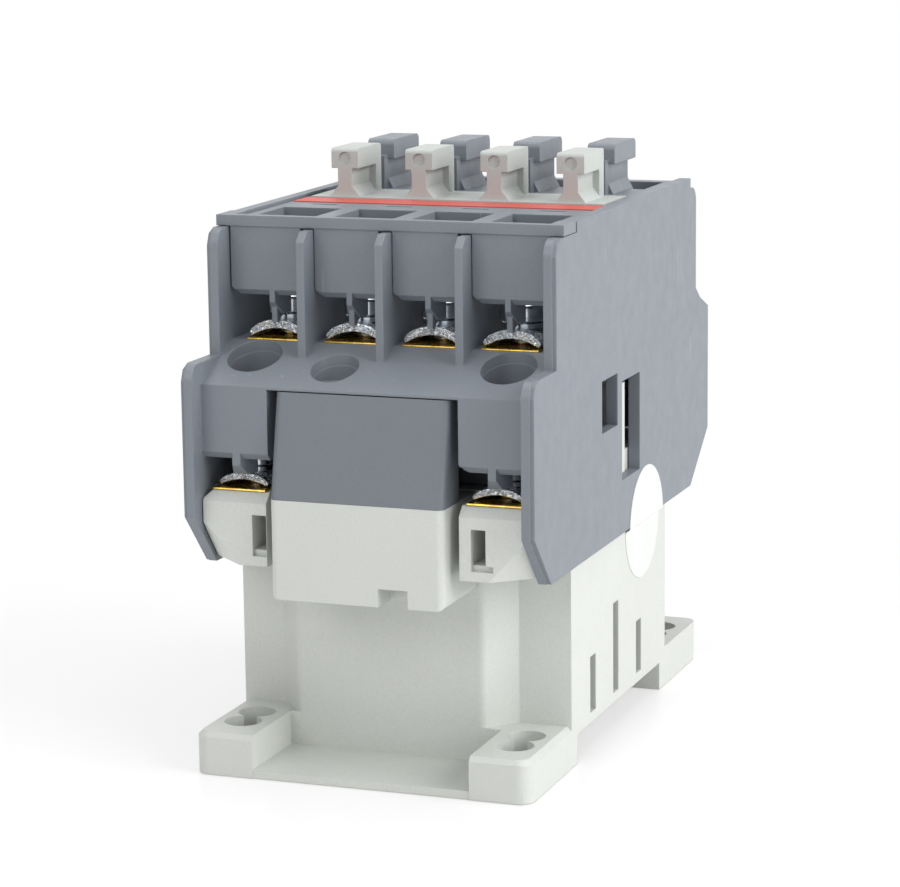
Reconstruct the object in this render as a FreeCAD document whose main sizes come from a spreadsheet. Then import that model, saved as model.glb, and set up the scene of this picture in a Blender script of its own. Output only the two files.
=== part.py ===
import FreeCAD, Part
import math
import os
import Sketcher

os.makedirs("parts", exist_ok=True)
doc = FreeCAD.newDocument("contactor")

# Sizes in millimetres. x runs along the poles, y from the coil side to the far side, z up from
# the mounting face. Each size is written once; the sheet holds it and the features are bound to it.
SIZES = [
    ("pole_pitch", 10.0), ("pole_mid", 2.9), ("reach", 37.12), ("travel", 5.0),
    ("touch_gap", 0.06), ("shank_gap", 0.06), ("seat_gap", 0.15), ("slip_gap", 0.25),
    # side panels of the main housing
    ("panel_round", 2.0), ("rebate_wide", 0.45), ("rebate_deep", 0.3), ("jog_bevel", 1.6),
    ("far_shoulder", 2.2), ("partition_thick", 1.0), ("partition_bevel", 1.2),
    # shelf and lower blocks
    ("block_wall", 1.7), ("block_bevel", 0.8), ("corner_bevel", 1.0), ("floor_thick", 2.0),
    ("inner_near", 4.2), ("inner_far", 10.0), ("recess_wall", 1.2), ("recess_deep", 1.4),
    ("access_r", 3.35), ("tube_wall", 1.1), ("blind_x", 5.1), ("blind_r", 2.9), ("inner_wall", 1.6),
    ("fin_front", 0.5), ("fin_back", 1.5), ("fin_deep", 3.0), ("fin_bevel", 1.2),
    ("far_block_drop", 4.0), ("lead_gate", 1.6), ("screw_room", 0.5),
    # top cover
    ("cover_plate", 1.35), ("cover_wall", 1.3), ("cover_bevel", 0.7), ("lip_deep", 1.3),
    ("pocket_half", 3.85), ("slot_left", 1.15), ("slot_right", 0.6), ("slot_thin", 0.65),
    ("label_slot_half", 1.7), ("label_slot_y", 8.7), ("label_slot_wide", 0.7),
    ("upper_fin_front", 0.35), ("upper_fin_back", 1.2), ("upper_fin_bevel", 1.5),
    ("guard_thick", 1.1), ("seam_grip", 0.5),
    # tee hooks
    ("tee_head_half", 1.8), ("tee_neck_half", 0.95), ("tee_front", 1.35), ("tee_stop", 4.8),
    ("tee_back", 6.7), ("tee_flare", 2.2), ("tee_flare_high", 1.3), ("tee_round", 0.5),
    ("grey_round", 0.76), ("grey_web_front", 10.0), ("grey_front", 11.3), ("grey_web_back", 19.8),
    ("grey_back", 20.5), ("mark_r", 0.8), ("mark_deep", 0.25),
    # contact carrier
    ("deck_near", 1.9), ("deck_far", 7.7), ("deck_thick", 1.0), ("column_half", 4.0),
    ("column_near", 0.9), ("column_far", 6.7), ("beam_near", 3.2), ("yoke_half", 9.2),
    ("yoke_reach", 13.2), ("lug_half", 3.5), ("lug_thick", 1.9), ("window_half", 2.75),
    # contacts
    ("strip_half", 3.6), ("strip_thick", 1.0), ("strip_inner", 5.2), ("tip_half", 1.6),
    ("tip_thick", 0.7), ("tip_y", 7.0), ("bridge_half", 2.5), ("bridge_thick", 1.0),
    ("bridge_end", 8.7), ("contact_spring_r", 1.7), ("contact_wire", 0.45),
    # terminal screws and clamps
    ("screw_head_r", 3.0), ("screw_head_high", 2.3), ("washer_r", 2.7), ("shank_r", 1.7),
    ("slot_wide", 0.8), ("slot_deep", 1.2), ("slot_reach", 1.85), ("clamp_half", 3.1),
    ("clamp_thick", 0.8), ("clamp_inner_r", 3.9), ("clamp_deep", 9.0), ("clamp_lift", 0.1),
    # coil terminals
    ("coil_plate_half", 3.4), ("coil_plate_thick", 0.4), ("coil_clamp_half", 2.9),
    ("coil_clamp_thick", 0.5), ("coil_clamp_r", 5.4), ("coil_clamp_deep", 7.4),
    ("coil_head_high", 2.0), ("coil_head_r", 2.7), ("coil_slot_reach", 1.65),
    # base
    ("base_near", 21.6), ("base_far", 18.4), ("base_wall", 1.6), ("base_shoulder", 24.9),
    ("hollow_room", 1.05), ("rib_flank", 3.4), ("rib_round", 1.2), ("floor_low", 3.63),
    ("foot_round", 1.8), ("foot_edge", 0.6), ("rail_near", 19.3), ("rail_far", 15.9),
    ("plate_thick", 1.0), ("plate_set", 1.0), ("hook_low", 0.9), ("hook_high", 2.4),
    ("hook_reach", 1.6), ("fix_y", 30.0), ("fix_inner", 4.3), ("fix_mid", 1.3), ("fix_r", 2.3),
    ("support_bevel", 1.2), ("support_corner", 0.9), ("sweep_wide", 4.6), ("sweep_deep", 3.8),
    ("notch_half", 0.9), ("notch_deep", 5.0), ("notch_step", 0.7), ("notch_lip", 0.6),
    ("vent_wide", 2.2), ("vent_low", 4.9), ("vent_a_y", 13.0), ("vent_a_top", 12.0),
    ("vent_b_y", 3.5), ("vent_b_top", 16.5), ("vent_c_y", 6.4), ("vent_c_top", 11.8),
    ("tab_near", 2.2), ("tab_far", 0.4), ("tab_out", 0.9),
    ("win_a_near", 10.9), ("win_a_far", 4.5), ("win_b_near", 2.65), ("win_b_far", 5.0),
    # coil block and its cap
    ("cap_lean", 2.5), ("coil_round", 0.9), ("coil_notch_left", 2.7), ("coil_notch_right", 6.4),
    ("coil_notch_deep", 4.0),
    # magnet
    ("core_leg", 5.0), ("core_mid_half", 4.0), ("core_deep", 7.0), ("core_yoke", 6.0),
    ("armature_yoke", 6.0), ("pin_r", 1.5), ("pin_half", 9.4), ("bobbin_gap", 0.3),
    ("bobbin_wall", 1.0), ("flange_y", 14.5), ("flange_thick", 1.0), ("winding_y", 13.8),
    ("winding_round", 2.5), ("ring_wide", 1.0), ("ring_out", 1.0), ("return_x", 6.5),
    ("return_y", 10.8), ("return_r", 1.9), ("return_wire", 0.5), ("lead_r", 0.4),
    # rail latch
    ("latch_half", 6.0), ("latch_low", 1.15), ("latch_high", 3.4), ("latch_hook", 2.3),
    ("latch_rib", 1.2), ("latch_room", 1.3), ("latch_play", 0.3), ("latch_grip_half", 2.0),
    ("latch_grip", 0.9), ("latch_post_half", 1.0), ("latch_spring_r", 0.62), ("latch_wire", 0.3),
    # marker strip and round sticker
    ("marker_near", 6.6), ("marker_far", 2.2), ("marker_thick", 0.12), ("sticker_r", 7.3),
    ("sticker_y", 7.9), ("sticker_thick", 0.08), ("sticker_drop", 0.5), ("sticker_spare", 0.7),
]

# Places and sizes that follow from others: name, what it follows, and its own offset from that.
PLACES = [
    # across, x
    ("housing_half", "pole_pitch * 2", 2.0), ("panel_inner", "housing_half", -1.5),
    ("cover_half", "panel_inner", -0.2), ("base_half", "housing_half", -0.6),
    ("deck_half", "panel_inner", -1.1), ("beam_half", "panel_inner", -2.5),
    ("marker_half", "cover_half", -0.4), ("access_x", "panel_inner", -4.4),
    ("recess_half", "access_x", -4.1), ("coil_half", "recess_half", -1.08),
    ("rib_left", "recess_half", 0.6), ("rib_right", "recess_half", -0.6),
    ("fix_x", "base_half", -3.9), ("foot_inner", "base_half", -7.6),
    ("core_half", "base_half", -4.4), ("flange_x", "core_half - core_leg", -0.4),
    ("winding_x", "flange_x", -0.6), ("lead_x", "access_x", -1.9),
    ("damper_out", "core_half", -0.5), ("damper_in", "damper_out", -7.0),
    ("notch_left", "recess_half", 1.1), ("notch_right", "recess_half", 2.5),
    # along, y, each measured outwards from the middle
    ("block_front", "reach", -2.52), ("support_front", "block_front", 0.5),
    ("coil_front", "reach", -0.02), ("upper_near", "reach", -8.38), ("upper_far", "reach", -6.12),
    ("foot_near", "reach", -5.96), ("foot_far", "reach", -8.51),
    ("part_near", "upper_near", -0.34), ("part_far", "upper_far", -0.4),
    ("recess_back", "block_front", -3.2), ("access_y", "block_front", -6.3),
    ("blind_y", "block_front", -4.6), ("shelf_back_y", "block_front", -9.6),
    ("cover_near", "shelf_back_y", 0.3), ("lip_front", "cover_near", 0.25),
    ("panel_step_near", "cover_near", -4.8), ("cover_far", "upper_far", -2.5),
    ("panel_step_far", "cover_far", -0.2), ("pocket_near", "cover_near", -1.4),
    ("pocket_back", "pocket_near", -11.8), ("far_pocket_far", "cover_far", -2.1),
    ("far_pocket_near", "far_pocket_far", -8.8), ("screw_y", "pocket_near", -4.7),
    ("far_screw_y", "far_pocket_far", -4.4), ("far_shelf_y", "cover_far", -0.7),
    ("far_block", "far_shelf_y", 8.0), ("strip_near", "shelf_back_y", -0.1),
    ("strip_far", "far_shelf_y", -0.1), ("coil_plate_near", "block_front", -0.5),
    ("coil_plate_far", "access_y", -5.0), ("rib_near", "base_near", 3.7),
    ("coil_back", "rib_near", 0.1), ("inner_wall_y", "base_near", 1.2),
    ("rib_far", "base_far", 3.8), ("foot_out", "reach", 0.18), ("plate_out", "foot_out", -0.15),
    ("foot_end", "foot_out", -3.1), ("cap_back", "recess_back", 0.2),
    ("latch_in", "rail_far", -1.5), ("latch_out", "foot_end", -1.0),
    ("latch_post", "latch_out", -3.7), ("latch_seat", "latch_post", -8.0),
    # up, z
    ("floor_top", "floor_low", 1.57), ("foot_top", "floor_top", 0.04),
    ("base_rim", "base_shoulder", 9.6), ("support_bottom", "base_shoulder", 0.8),
    ("notch_high", "base_rim", -2.6), ("notch_low", "notch_high", -4.3),
    ("coil_split", "base_rim", -0.15), ("coil_bottom", "coil_split", -12.05),
    ("coil_notch_top", "coil_bottom", 2.2), ("coil_crown", "base_rim", 1.25),
    ("coil_head_low", "base_rim", 2.9), ("coil_shank_foot", "base_rim", -5.0),
    ("taper_top", "base_rim", -2.97), ("panel_foot", "base_shoulder", 0.12),
    ("wall_seat", "base_rim", 0.12), ("shelf_back", "base_rim", 16.8),
    ("shelf_front", "shelf_back", -4.0), ("block_bottom", "shelf_front", -8.9),
    ("recess_top", "shelf_front", -0.3), ("cap_top", "recess_top", -0.15),
    ("fin_bottom", "block_bottom", -1.9), ("jog_top", "shelf_back", -1.45),
    ("panel_top", "shelf_back", 15.05), ("panel_top_near", "panel_top", -1.3),
    ("cover_top", "panel_top", -0.4), ("lip_top", "panel_top", 0.1),
    ("lip_under", "panel_top_near", 0.1), ("cover_foot", "shelf_back", 5.5),
    ("upper_fin_low", "shelf_back", 3.2), ("pocket_wall_foot", "shelf_back", 3.4),
    ("well_guard", "cover_top", -4.15), ("well_floor", "cover_top", -6.15),
    ("bay_ceiling", "cover_top - cover_plate", -0.2), ("deck_top", "cover_top", 0.25),
    ("window_top", "deck_top", -2.0), ("tee_top", "deck_top", 6.1),
    ("tee_under", "tee_top", -2.55), ("mark_z", "tee_top", -1.3), ("beam_top", "shelf_back", -1.5),
    ("beam_bottom", "beam_top", -7.4), ("yoke_bottom", "beam_bottom", -2.8),
    ("lug_bottom", "yoke_bottom", -5.3), ("armature_top", "yoke_bottom", -0.1),
    ("pin_z", "yoke_bottom", -3.0), ("screw_head_low", "shelf_back", 4.0),
    ("clamp_crown", "shelf_back", 2.25), ("shank_foot", "shelf_back", -4.8),
    ("core_low", "floor_top", 1.0), ("core_pole", "armature_top - travel - touch_gap", -9.54),
    ("ring_low", "core_pole", -1.5), ("ring_high", "core_pole", -0.3),
    ("bobbin_low", "core_low + core_yoke", 0.15), ("bobbin_high", "core_pole", 3.1),
    ("win_a_low", "shelf_back", -12.1), ("win_a_high", "win_a_low", 6.5),
    ("win_b_low", "base_rim", -2.65), ("win_b_high", "win_b_low", 12.5),
    ("tab_low", "win_b_low", 0.55), ("tab_high", "tab_low", 11.4),
    ("sticker_z", "panel_foot", -0.52),
]

sheet = doc.addObject("Spreadsheet::Sheet", "dims")
for row, (alias, number) in enumerate(SIZES, start=1):
    sheet.set("A%d" % row, alias)
    sheet.set("B%d" % row, repr(number))
    sheet.setAlias("B%d" % row, alias)
for row, (alias, follows, offset) in enumerate(PLACES, start=len(SIZES) + 1):
    sheet.set("A%d" % row, alias)
    sheet.set("C%d" % row, repr(offset))
    sheet.set("B%d" % row, "=%s + C%d" % (follows, row))
    sheet.setAlias("B%d" % row, alias)
doc.recompute()


class Size:
    """A length that carries its number and the sheet expression behind it."""

    def __init__(self, value, text):
        self.value = value
        self.text = text

    def __add__(self, other):
        other = as_size(other)
        return Size(self.value + other.value, "(%s + %s)" % (self.text, other.text))

    def __sub__(self, other):
        other = as_size(other)
        return Size(self.value - other.value, "(%s - %s)" % (self.text, other.text))

    def __mul__(self, other):
        other = as_size(other)
        return Size(self.value * other.value, "(%s * %s)" % (self.text, other.text))

    def __truediv__(self, other):
        other = as_size(other)
        return Size(self.value / other.value, "(%s / %s)" % (self.text, other.text))

    def __neg__(self):
        return Size(-self.value, "(0 - %s)" % self.text)

    def __radd__(self, other):
        return as_size(other) + self

    def __rsub__(self, other):
        return as_size(other) - self

    def __rmul__(self, other):
        return as_size(other) * self

    def root(self):
        return Size(math.sqrt(self.value), "sqrt(%s)" % self.text)


def as_size(number):
    return number if isinstance(number, Size) else Size(float(number), repr(float(number)))


class Dims:
    """Each sheet value as a Size."""


d = Dims()
for alias in [entry[0] for entry in SIZES + PLACES]:
    setattr(d, alias, Size(float(sheet.get(alias)), "dims." + alias))

POLES = [d.pole_pitch * k for k in (-1.5, -0.5, 0.5, 1.5)]
SEAMS = [d.pole_pitch * k for k in (-1, 0, 1)]
PLANES = {"XY": "XY_Plane", "XZ": "XZ_Plane", "YZ": "YZ_Plane"}
BEYOND = 1


def new_body(name):
    body = doc.addObject("PartDesign::Body", name)
    body.Label = name
    body.AllowCompound = True
    return body


def origin_plane(body, plane):
    return next(o for o in body.Origin.OriginFeatures if o.Role == PLANES[plane])


def new_sketch(body, plane, height):
    """A sketch parallel to an origin plane at the given x, y or z."""
    sketch = body.newObject("Sketcher::SketchObject", body.Name + "_sketch")
    sketch.AttachmentSupport = (origin_plane(body, plane), "")
    sketch.MapMode = "FlatFace"
    height = as_size(height)
    if plane == "XZ":
        height = -height
    sketch.AttachmentOffset = FreeCAD.Placement(FreeCAD.Vector(0, 0, height.value), FreeCAD.Rotation())
    sketch.setExpression("AttachmentOffset.Base.z", height.text)
    return sketch


def draw_loop(sketch, points):
    """A closed polygon; every corner is placed from the origin by its two sizes."""
    points = [(as_size(a), as_size(b)) for a, b in points]
    first = sketch.GeometryCount
    count = len(points)
    spots = [FreeCAD.Vector(a.value, b.value, 0) for a, b in points]
    lines = [Part.LineSegment(spots[i], spots[(i + 1) % count]) for i in range(count)]
    sketch.addGeometry(lines, False)
    rules = []
    for i in range(count):
        rules.append(Sketcher.Constraint("Coincident", first + i, 2, first + (i + 1) % count, 1))
    base = sketch.ConstraintCount
    for i, (a, b) in enumerate(points):
        rules.append(Sketcher.Constraint("DistanceX", -1, 1, first + i, 1, a.value))
        rules.append(Sketcher.Constraint("DistanceY", -1, 1, first + i, 1, b.value))
    sketch.addConstraint(rules)
    for i, (a, b) in enumerate(points):
        sketch.setExpression("Constraints[%d]" % (base + count + 2 * i), a.text)
        sketch.setExpression("Constraints[%d]" % (base + count + 2 * i + 1), b.text)


def draw_circle(sketch, across, up, radius):
    across, up, radius = as_size(across), as_size(up), as_size(radius)
    index = sketch.GeometryCount
    centre = FreeCAD.Vector(across.value, up.value, 0)
    sketch.addGeometry(Part.Circle(centre, FreeCAD.Vector(0, 0, 1), radius.value), False)
    base = sketch.ConstraintCount
    sketch.addConstraint([
        Sketcher.Constraint("DistanceX", -1, 1, index, 3, across.value),
        Sketcher.Constraint("DistanceY", -1, 1, index, 3, up.value),
        Sketcher.Constraint("Radius", index, radius.value),
    ])
    sketch.setExpression("Constraints[%d]" % base, across.text)
    sketch.setExpression("Constraints[%d]" % (base + 1), up.text)
    sketch.setExpression("Constraints[%d]" % (base + 2), radius.text)


def box(a0, b0, a1, b1):
    return [(a0, b0), (a1, b0), (a1, b1), (a0, b1)]


def corner(a, b, along, rise):
    """The loop that takes the corner at (a, b) off; along and rise reach into the solid."""
    along, rise = as_size(along), as_size(rise)
    out_a = a - BEYOND if along.value > 0 else a + BEYOND
    out_b = b - BEYOND if rise.value > 0 else b + BEYOND
    return [(out_a, out_b), (a + along, out_b), (a + along, b), (a, b + rise), (out_a, b + rise)]


def plough(across, front, half, back_half, deep):
    """A wedge seen from above, narrow at the front and wider towards the back."""
    return [(across - half, front), (across + half, front),
            (across + back_half, front + deep), (across - back_half, front + deep)]


def octagon(across, along, radius):
    spots = []
    for k in range(8):
        angle = math.radians(22.5 + 45 * k)
        spots.append((across + radius * round(math.cos(angle), 6),
                      along + radius * round(math.sin(angle), 6)))
    return spots


def extrude(body, kind, plane, low, high, loops=(), circles=()):
    """Pad or Pocket between two coordinates along the plane's axis."""
    low, high = as_size(low), as_size(high)
    start = high if plane == "XZ" else low
    sketch = new_sketch(body, plane, start)
    for loop in loops:
        draw_loop(sketch, loop)
    for circle in circles:
        draw_circle(sketch, *circle)
    feature = body.newObject("PartDesign::" + kind, body.Name + "_" + kind.lower())
    feature.Profile = sketch
    length = high - low
    feature.Length = length.value
    feature.setExpression("Length", length.text)
    if kind == "Pocket":
        feature.Reversed = True
    sketch.Visibility = False
    return feature


def pad(body, plane, low, high, loops=(), circles=()):
    return extrude(body, "Pad", plane, low, high, loops, circles)


def pocket(body, plane, low, high, loops=(), circles=()):
    return extrude(body, "Pocket", plane, low, high, loops, circles)


def cut_between(body, lower, lower_z, upper, upper_z):
    """Takes away the solid between two loops at two heights."""
    sketches = []
    for loop, height in ((lower, lower_z), (upper, upper_z)):
        sketch = new_sketch(body, "XY", height)
        draw_loop(sketch, loop)
        sketch.Visibility = False
        sketches.append(sketch)
    loft = body.newObject("PartDesign::SubtractiveLoft", body.Name + "_loft")
    loft.Profile = sketches[0]
    loft.Sections = [sketches[1]]
    loft.Ruled = True
    return loft


def dress(body, kind, size, pick):
    """Fillet or chamfer the edges of the tip that pick(edge) accepts."""
    doc.recompute()
    tip = body.Tip
    names = ["Edge%d" % (i + 1) for i, edge in enumerate(tip.Shape.Edges) if pick(edge)]
    if not names:
        raise ValueError("no edge picked on " + body.Name)
    feature = body.newObject("PartDesign::" + kind, body.Name + "_" + kind.lower())
    feature.Base = (tip, names)
    side = "Radius" if kind == "Fillet" else "Size"
    setattr(feature, side, size.value)
    feature.setExpression(side, size.text)
    return feature


def near(value, size, slack=0.02):
    return abs(value - as_size(size).value) < slack


def mirror_pair(loop):
    """The loop and its mirror image across x = 0."""
    return [loop, [(-as_size(a), b) for a, b in loop]]


# Wires: flat-sided tubes along straight runs, mitred at every turn.
WIRE_SIDES = 4
COIL_STEPS = 7


def slide(point, run, spot, normal):
    """Where the line from point along run meets the plane through spot."""
    return point + run * ((spot - point).dot(normal) / run.dot(normal))


def wire_tube(name, spots, radius):
    runs = [(b - a).normalize() for a, b in zip(spots, spots[1:])]
    aside = runs[0].cross(FreeCAD.Vector(0, 0.6, 0.8)).normalize()
    above = runs[0].cross(aside)
    ring = []
    for k in range(WIRE_SIDES):
        angle = 2 * math.pi * k / WIRE_SIDES
        ring.append(spots[0] + aside * (radius * math.cos(angle)) + above * (radius * math.sin(angle)))
    rings = [ring]
    for k, run in enumerate(runs):
        normal = run + runs[k + 1] if k + 1 < len(runs) else run
        ring = [slide(point, run, spots[k + 1], normal) for point in ring]
        rings.append(ring)
    faces = [Part.Face(Part.makePolygon(end + end[:1])) for end in (rings[0], rings[-1])]
    for one, two in zip(rings, rings[1:]):
        for k in range(WIRE_SIDES):
            after = (k + 1) % WIRE_SIDES
            quad = [one[k], one[after], two[after], two[k], one[k]]
            faces.append(Part.Face(Part.makePolygon(quad)))
    shell = Part.makeShell(faces)
    shell.sewShape()
    solid = Part.makeSolid(shell)
    if solid.Volume < 0:
        solid.reverse()
    item = doc.addObject("Part::Feature", name)
    item.Label = name
    item.Shape = solid
    item.Placement = FreeCAD.Placement()
    return item


def spring(name, centre, length, radius, wire, turns, along_y=False):
    """A coil from centre upwards, or along y, with both ends inside the length."""
    length, radius, wire = as_size(length).value, radius.value, wire.value
    centre = FreeCAD.Vector(*[as_size(part).value for part in centre])
    steps = turns * COIL_STEPS
    spots = []
    for k in range(steps + 1):
        angle = 2 * math.pi * k / COIL_STEPS
        run = wire / 2 + (length - wire) * k / steps
        across, up = radius * math.cos(angle), radius * math.sin(angle)
        spots.append(centre + (FreeCAD.Vector(across, run, up) if along_y
                               else FreeCAD.Vector(across, up, run)))
    return wire_tube(name, spots, wire / 2)


# Base housing: white lower moulding with feet, rail channel, terminal supports and snap tabs.
def make_base():
    body = new_body("base_housing")
    base_walls(body)
    base_feet(body)
    base_supports(body)
    base_openings(body)
    base_tabs_and_guides(body)
    return body


def base_walls(body):
    out, near_y, far_y = d.base_half, -d.base_near, d.base_far
    pad(body, "XY", d.floor_low, d.base_shoulder, [box(-out, near_y, out, far_y)])
    upper = d.panel_inner - d.seat_gap
    pad(body, "XY", d.base_shoulder, d.base_rim, [box(-upper, near_y, upper, far_y)])
    rib = [(-d.rib_left, -d.rib_near), (d.rib_right, -d.rib_near),
           (d.rib_right + d.rib_flank, near_y), (-(d.rib_left + d.rib_flank), near_y)]
    pad(body, "XY", d.plate_thick, d.base_rim, [rib])
    dress(body, "Fillet", d.rib_round,
          lambda e: e.BoundBox.ZLength > 5 and near(e.CenterOfMass.y, -d.rib_near))
    far_rib = [(-(d.rib_left + d.rib_flank), far_y), (d.rib_right + d.rib_flank, far_y),
               (d.rib_right, d.rib_far), (-d.rib_left, d.rib_far)]
    pad(body, "XY", d.plate_thick, d.base_rim, [far_rib])
    hollow_x = out - d.base_wall - d.hollow_room
    pocket(body, "XY", d.floor_top, d.base_rim + BEYOND,
           [box(-hollow_x, near_y + d.base_wall, hollow_x, far_y - d.base_wall)])


def base_feet(body):
    out = d.base_half
    feet = mirror_pair(box(d.foot_inner, -d.foot_out, out, -d.rail_near))
    feet += mirror_pair(box(d.foot_inner, d.rail_far, out, d.foot_end))
    pad(body, "XY", 0, d.foot_top, feet)
    dress(body, "Fillet", d.foot_round,
          lambda e: near(abs(e.CenterOfMass.x), d.base_half)
          and (near(e.CenterOfMass.y, -d.foot_out) or near(e.CenterOfMass.y, d.foot_end)))
    dress(body, "Chamfer", d.foot_edge,
          lambda e: near(e.CenterOfMass.z, d.foot_top) and near(e.CenterOfMass.y, -d.foot_out))
    inner = out - d.plate_set
    plates = [box(-inner, -d.plate_out, inner, -d.rail_near),
              box(-inner, d.rail_far, inner, d.foot_end - d.slip_gap)]
    pad(body, "XY", 0, d.plate_thick, plates)
    filler = [box(-d.foot_inner - d.tab_far, -d.rib_near, d.foot_inner + d.tab_far, -d.rail_near)]
    pad(body, "XY", d.plate_thick, d.floor_top, filler)
    pad(body, "XY", d.hook_low, d.hook_high,
        [box(-inner, -d.rail_near, inner, -d.rail_near + d.hook_reach)])
    for lobe_y in (d.fix_y, d.fix_y - d.fix_inner):
        lobes = []
        for side in (-1, 1):
            for end in (-1, 1):
                lobes.append((d.fix_x * side, lobe_y * end - d.fix_mid, d.fix_r))
        pocket(body, "XY", -BEYOND, d.foot_top + BEYOND, circles=lobes)


def base_supports(body):
    upper = d.panel_inner - d.seat_gap
    support_x = d.recess_half + d.seat_gap
    front = -d.support_front
    pad(body, "XY", d.support_bottom, d.base_rim,
        mirror_pair(box(support_x, front, upper, -d.base_near)))
    pocket(body, "YZ", -upper - BEYOND, upper + BEYOND,
           [corner(front, d.base_rim, d.support_bevel, -d.support_bevel)])
    pocket(body, "XZ", front - BEYOND, front + d.support_bevel * 3,
           mirror_pair(corner(-upper, d.base_rim, d.support_corner, -d.support_corner)))
    wide, deep = d.sweep_wide, d.sweep_deep
    low = d.support_bottom - BEYOND
    for side in (-1, 1):
        edge, turn = upper * side, BEYOND * side
        big = [(edge + turn, front - BEYOND), (edge - wide * side - turn * 2, front - BEYOND),
               (edge + turn, front + deep + BEYOND * 2)]
        tip = [(edge + turn, front - BEYOND), (edge - turn * 0.02, front - BEYOND),
               (edge + turn, front - BEYOND + 0.02)]
        cut_between(body, big, low, tip, d.taper_top + BEYOND)
    pocket(body, "XZ", front - BEYOND, front + d.notch_deep,
           [box(-d.notch_left - d.notch_half, d.notch_low, -d.notch_left + d.notch_half, d.notch_high),
            box(d.notch_right - d.notch_half, d.notch_low, d.notch_right + d.notch_half, d.notch_high)])
    ledge = d.notch_low - d.notch_step
    pocket(body, "XZ", front - BEYOND, front + d.notch_lip,
           [box(-d.notch_left - d.notch_half, ledge, -d.notch_left + d.notch_half, d.notch_low),
            box(d.notch_right - d.notch_half, ledge, d.notch_right + d.notch_half * 2, d.notch_low)])
    wells = [octagon(d.access_x * side, -d.access_y, d.shank_r + d.bobbin_gap) for side in (-1, 1)]
    pocket(body, "XY", d.coil_shank_foot - BEYOND, d.base_rim + BEYOND, wells)


def base_openings(body):
    vents = []
    for mid_y, top in ((-d.vent_a_y, d.vent_a_top), (-d.vent_b_y, d.vent_b_top),
                       (d.vent_c_y, d.vent_c_top)):
        vents.append(box(mid_y - d.vent_wide / 2, d.vent_low, mid_y + d.vent_wide / 2, top))
    pocket(body, "YZ", -d.base_half - BEYOND, d.base_half + BEYOND, vents)


def base_tabs_and_guides(body):
    root = d.panel_inner - d.seat_gap - d.base_wall
    tab = [box(-d.tab_near, d.tab_low, d.tab_far, d.tab_high)]
    pad(body, "YZ", root, d.panel_inner + d.tab_out, tab)
    pad(body, "YZ", -d.panel_inner - d.tab_out, -root, tab)
    latch_x = d.latch_half + d.slip_gap
    guide_end = d.foot_end - d.hook_low
    pad(body, "XY", d.plate_thick, d.latch_high,
        mirror_pair(box(latch_x, d.rib_far, latch_x + d.latch_rib, guide_end)))
    pocket(body, "XY", d.plate_thick, d.latch_high + d.slip_gap,
           [box(-latch_x, d.rail_far - BEYOND * 2, latch_x, d.rib_far + d.seam_grip)])
    post = d.latch_post_half
    pad(body, "XY", d.plate_thick, d.latch_high - d.seam_grip,
        [box(-post, d.latch_post, post, d.latch_post + post)])


# Main housing: grey moulding with side panels, sloped shelves, lower blocks and partitions.
def make_main():
    body = new_body("main_housing")
    main_panels(body)
    main_shelves(body)
    main_recess(body)
    main_holes_and_fins(body)
    main_partitions(body)
    windows = [box(-d.win_a_near, d.win_a_low, -d.win_a_far, d.win_a_high),
               box(-d.win_b_near, d.win_b_low, d.win_b_far, d.win_b_high)]
    pocket(body, "YZ", d.panel_inner - BEYOND, d.housing_half + BEYOND, windows)
    pocket(body, "YZ", -d.housing_half - BEYOND, -d.panel_inner + BEYOND, windows)
    return body


def panel_outline():
    """The side panel seen from the side."""
    return [(-d.upper_near, d.panel_top_near), (-d.panel_step_near, d.panel_top_near),
            (-d.panel_step_near, d.panel_top), (d.panel_step_far, d.panel_top),
            (d.panel_step_far, d.panel_top_near), (d.upper_far, d.panel_top_near),
            (d.upper_far, d.jog_top + d.jog_bevel), (d.upper_far + d.far_shoulder, d.jog_top),
            (d.reach, d.jog_top - d.jog_bevel), (d.reach, d.taper_top), (d.foot_far, d.panel_foot),
            (-d.foot_near, d.panel_foot), (-d.reach, d.taper_top), (-d.reach, d.jog_top),
            (-d.upper_near, d.jog_top)]


def rebate_loops():
    """The narrow step along the near edges of a panel, seen from the side."""
    turn = d.panel_round
    ease = turn * 0.3
    low, high = -d.reach + d.rebate_deep, -d.upper_near + d.rebate_deep
    jog, top = d.jog_top, d.panel_top_near
    lower = [(-d.foot_near + d.rebate_deep, d.panel_foot - BEYOND), (low - BEYOND, d.panel_foot - BEYOND),
             (low - BEYOND, jog + BEYOND), (low + turn, jog + BEYOND), (low + turn, jog),
             (low + ease, jog - ease), (low, jog - turn), (low, d.taper_top),
             (-d.foot_near + d.rebate_deep, d.panel_foot)]
    upper = [(high - BEYOND, jog), (high, jog), (high, top - turn), (high + ease, top - ease),
             (high + turn, top), (high + turn, top + BEYOND), (high - BEYOND, top + BEYOND)]
    return [lower, upper]


def main_panels(body):
    inner, outer = d.panel_inner, d.housing_half
    pad(body, "YZ", inner, outer, [panel_outline()])
    pad(body, "YZ", -outer, -inner, [panel_outline()])
    corners = ((-d.reach, d.jog_top), (-d.upper_near, d.panel_top_near), (d.upper_far, d.panel_top_near))
    dress(body, "Fillet", d.panel_round,
          lambda e: e.BoundBox.XLength > 1
          and any(near(e.CenterOfMass.y, y) and near(e.CenterOfMass.z, z) for y, z in corners))
    split = outer - d.rebate_wide
    pocket(body, "YZ", split, outer + BEYOND, rebate_loops())
    pocket(body, "YZ", -outer - BEYOND, -split, rebate_loops())


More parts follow.
